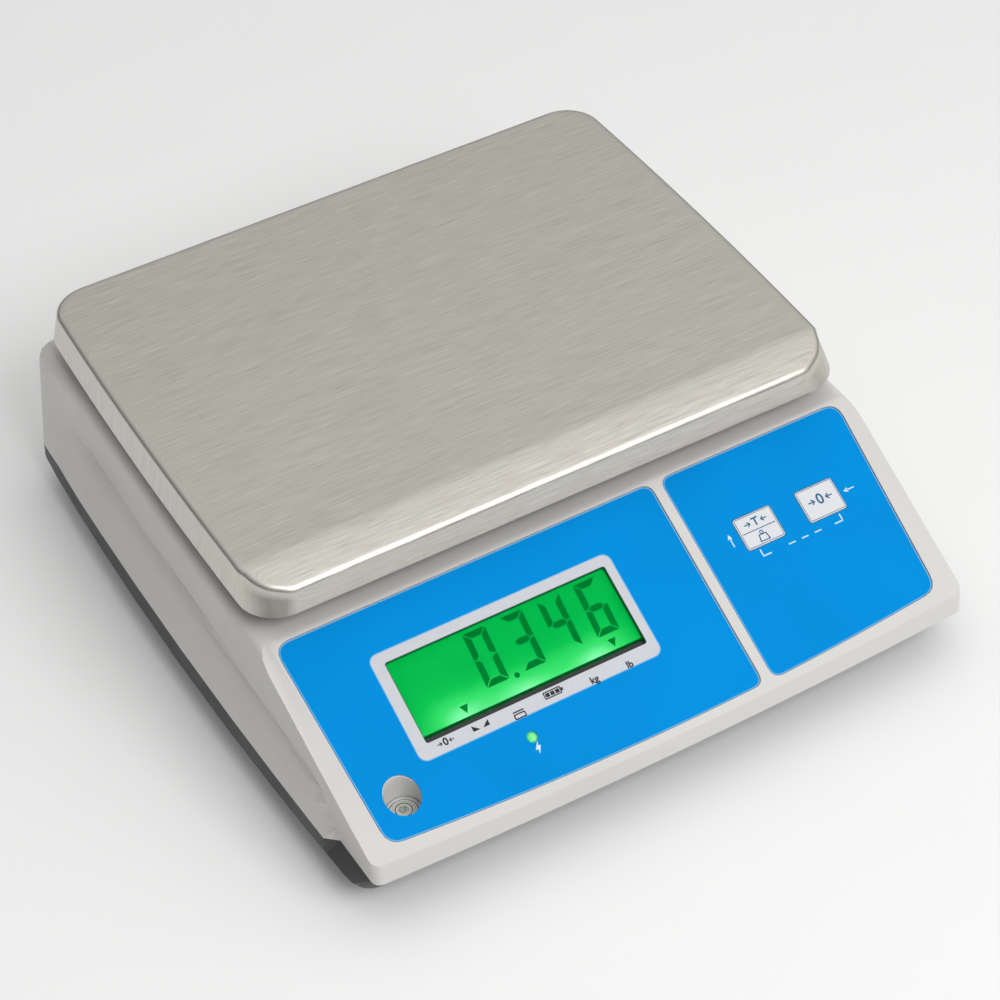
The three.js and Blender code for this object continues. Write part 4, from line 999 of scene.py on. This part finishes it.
# ------------------------------------------------------------------ feet
# Profiles of radius and height above the bench
FOOT_PAD = [(AXIS_R, 0.25), (9, 0.25), (9.4, 0), (12.7, 0), (13.3, 0.35), (14, 1.2), (13.7, 1.9),
            (11.8, 4.9), (11.4, 5.2), (3.6, 5.2), (3.4, 5.0), (3.4, 2.2), (AXIS_R, 2.2)]
STUD_WHEEL = [(AXIS_R, 2.6), (2.7, 2.6), (3, 2.9), (3, 5.5), (10.4, 5.5), (11, 5.9), (11, 7.9),
              (10.4, 8.3), (3.9, 8.3)]
STUD_END = [(3.3, 27.4), (2.9, 28), (AXIS_R, 28)]
THREAD_FROM, THREAD_PITCH, THREAD_TURNS = 8.6, 1.25, 15
KNURL_FROM, KNURL_DEPTH = 10.5, 0.45


def stud_profile():
    """Wheel, then a ring of thread at every pitch, then the stud's end."""
    thread = []
    for k in range(THREAD_TURNS):
        z = THREAD_FROM + k * THREAD_PITCH
        thread += [(3.9, z), (3.9, z + 0.15), (3.3, z + 0.65)]
    return STUD_WHEEL + thread + STUD_END


def knurl(r, i):
    """Grooves round the wheel's rim only."""
    return r - (KNURL_DEPTH if i % 2 and r > KNURL_FROM else 0)


def make_foot(corner):
    """Rubber pad, threaded stud with its knurled wheel, and lock nut."""
    low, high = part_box(f"foot_pad_{corner}")
    at = Matrix.Translation(((low.x + high.x) / 2 / MM, (low.y + high.y) / 2 / MM, 0))
    place(lathe(f"pad_{corner}", FOOT_PAD, 48, RUBBER, at), f"foot_pad_{corner}")
    place(lathe(f"stud_{corner}", stud_profile(), 72, PLATED, at, knurl), f"foot_stud_{corner}")
    refined(f"foot_nut_{corner}", PLATED, width=0.35)


for foot_row in ("front", "rear"):
    for foot_hand in ("left", "right"):
        make_foot(f"{foot_row}_{foot_hand}")


# ------------------------------------------------------------------ the rest
def make_rest():
    """Every node without a piece of its own keeps its CAD shape, with rounded edges."""
    shown = {name for piece in bpy.data.objects if "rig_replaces" in piece for name in piece["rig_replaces"]}
    for node_name in sorted(set(frame["nodes"]) - shown):
        slot = SLOT[node_name]
        if slot in ("grey_cable", "red_cable"):
            refined(node_name, FINISH[slot], width=0.12, segments=1, degrees=60)
        else:
            refined(node_name, FINISH[slot])


make_rest()


# ------------------------------------------------------------------ studio
FLOOR_HALF = 6000
FLOOR_DROP = 0.0002  # metres below the feet
# Grey level of the sky by height, from 0 below the horizon to 1 overhead
SKY = [(0.0, 0.10), (0.25, 0.24), (0.55, 0.50), (0.75, 0.72), (0.92, 0.86)]
SKY_LEAN = 0.5  # how much brighter the sky is towards +X
KEY_LIGHT = {"at": (0.35, -1.6, 1.65), "target": (0, 0, 0.05), "size": (1.4, 1.0), "watts": 24}


def make_floor():
    """Pale paper that the scale stands on."""
    half = FLOOR_HALF
    corners = [(-half, -half, 0), (half, -half, 0), (half, half, 0), (-half, half, 0)]
    paper = plastic("floor_paper", (0.95, 0.95, 0.95), 0.9, 300, 0.02, 0.008)
    floor = solid("floor", corners, [(0, 1, 2, 3)], paper)
    floor.location.z = -FLOOR_DROP


def make_light(name, at, target, size, watts):
    """A rectangular lamp aimed at a point, in metres."""
    data = bpy.data.lights.new(name, "AREA")
    data.shape = "RECTANGLE"
    data.size, data.size_y = size
    data.energy = watts
    light = bpy.data.objects.new(name, data)
    light.location = at
    light.rotation_euler = (Vector(target) - Vector(at)).to_track_quat("-Z", "Y").to_euler()
    bpy.context.scene.collection.objects.link(light)


def make_world():
    """Sky that grows brighter with height and to the right."""
    world = bpy.data.worlds.new("studio")
    bpy.context.scene.world = world
    world.use_nodes = True
    tree = world.node_tree
    background = tree.nodes["Background"]
    where = tree.nodes.new("ShaderNodeTexCoord")
    apart = tree.nodes.new("ShaderNodeSeparateXYZ")
    band = tree.nodes.new("ShaderNodeValToRGB")
    tree.links.new(where.outputs["Generated"], apart.inputs[0])
    tree.links.new(apart.outputs["Z"], band.inputs["Fac"])
    while len(band.color_ramp.elements) < len(SKY):
        band.color_ramp.elements.new(0.5)
    for element, (height, level) in zip(band.color_ramp.elements, SKY):
        element.position = height
        element.color = (level, level, level * 0.99, 1)
    tree.links.new(band.outputs["Color"], background.inputs["Color"])
    lean = tree.nodes.new("ShaderNodeMath")
    lean.operation = "MULTIPLY_ADD"
    lean.inputs[1].default_value = SKY_LEAN
    lean.inputs[2].default_value = 1.0
    tree.links.new(apart.outputs["X"], lean.inputs[0])
    tree.links.new(lean.outputs[0], background.inputs["Strength"])


make_floor()
make_world()
make_light("key", **KEY_LIGHT)
bpy.context.scene.view_settings.view_transform = "Standard"
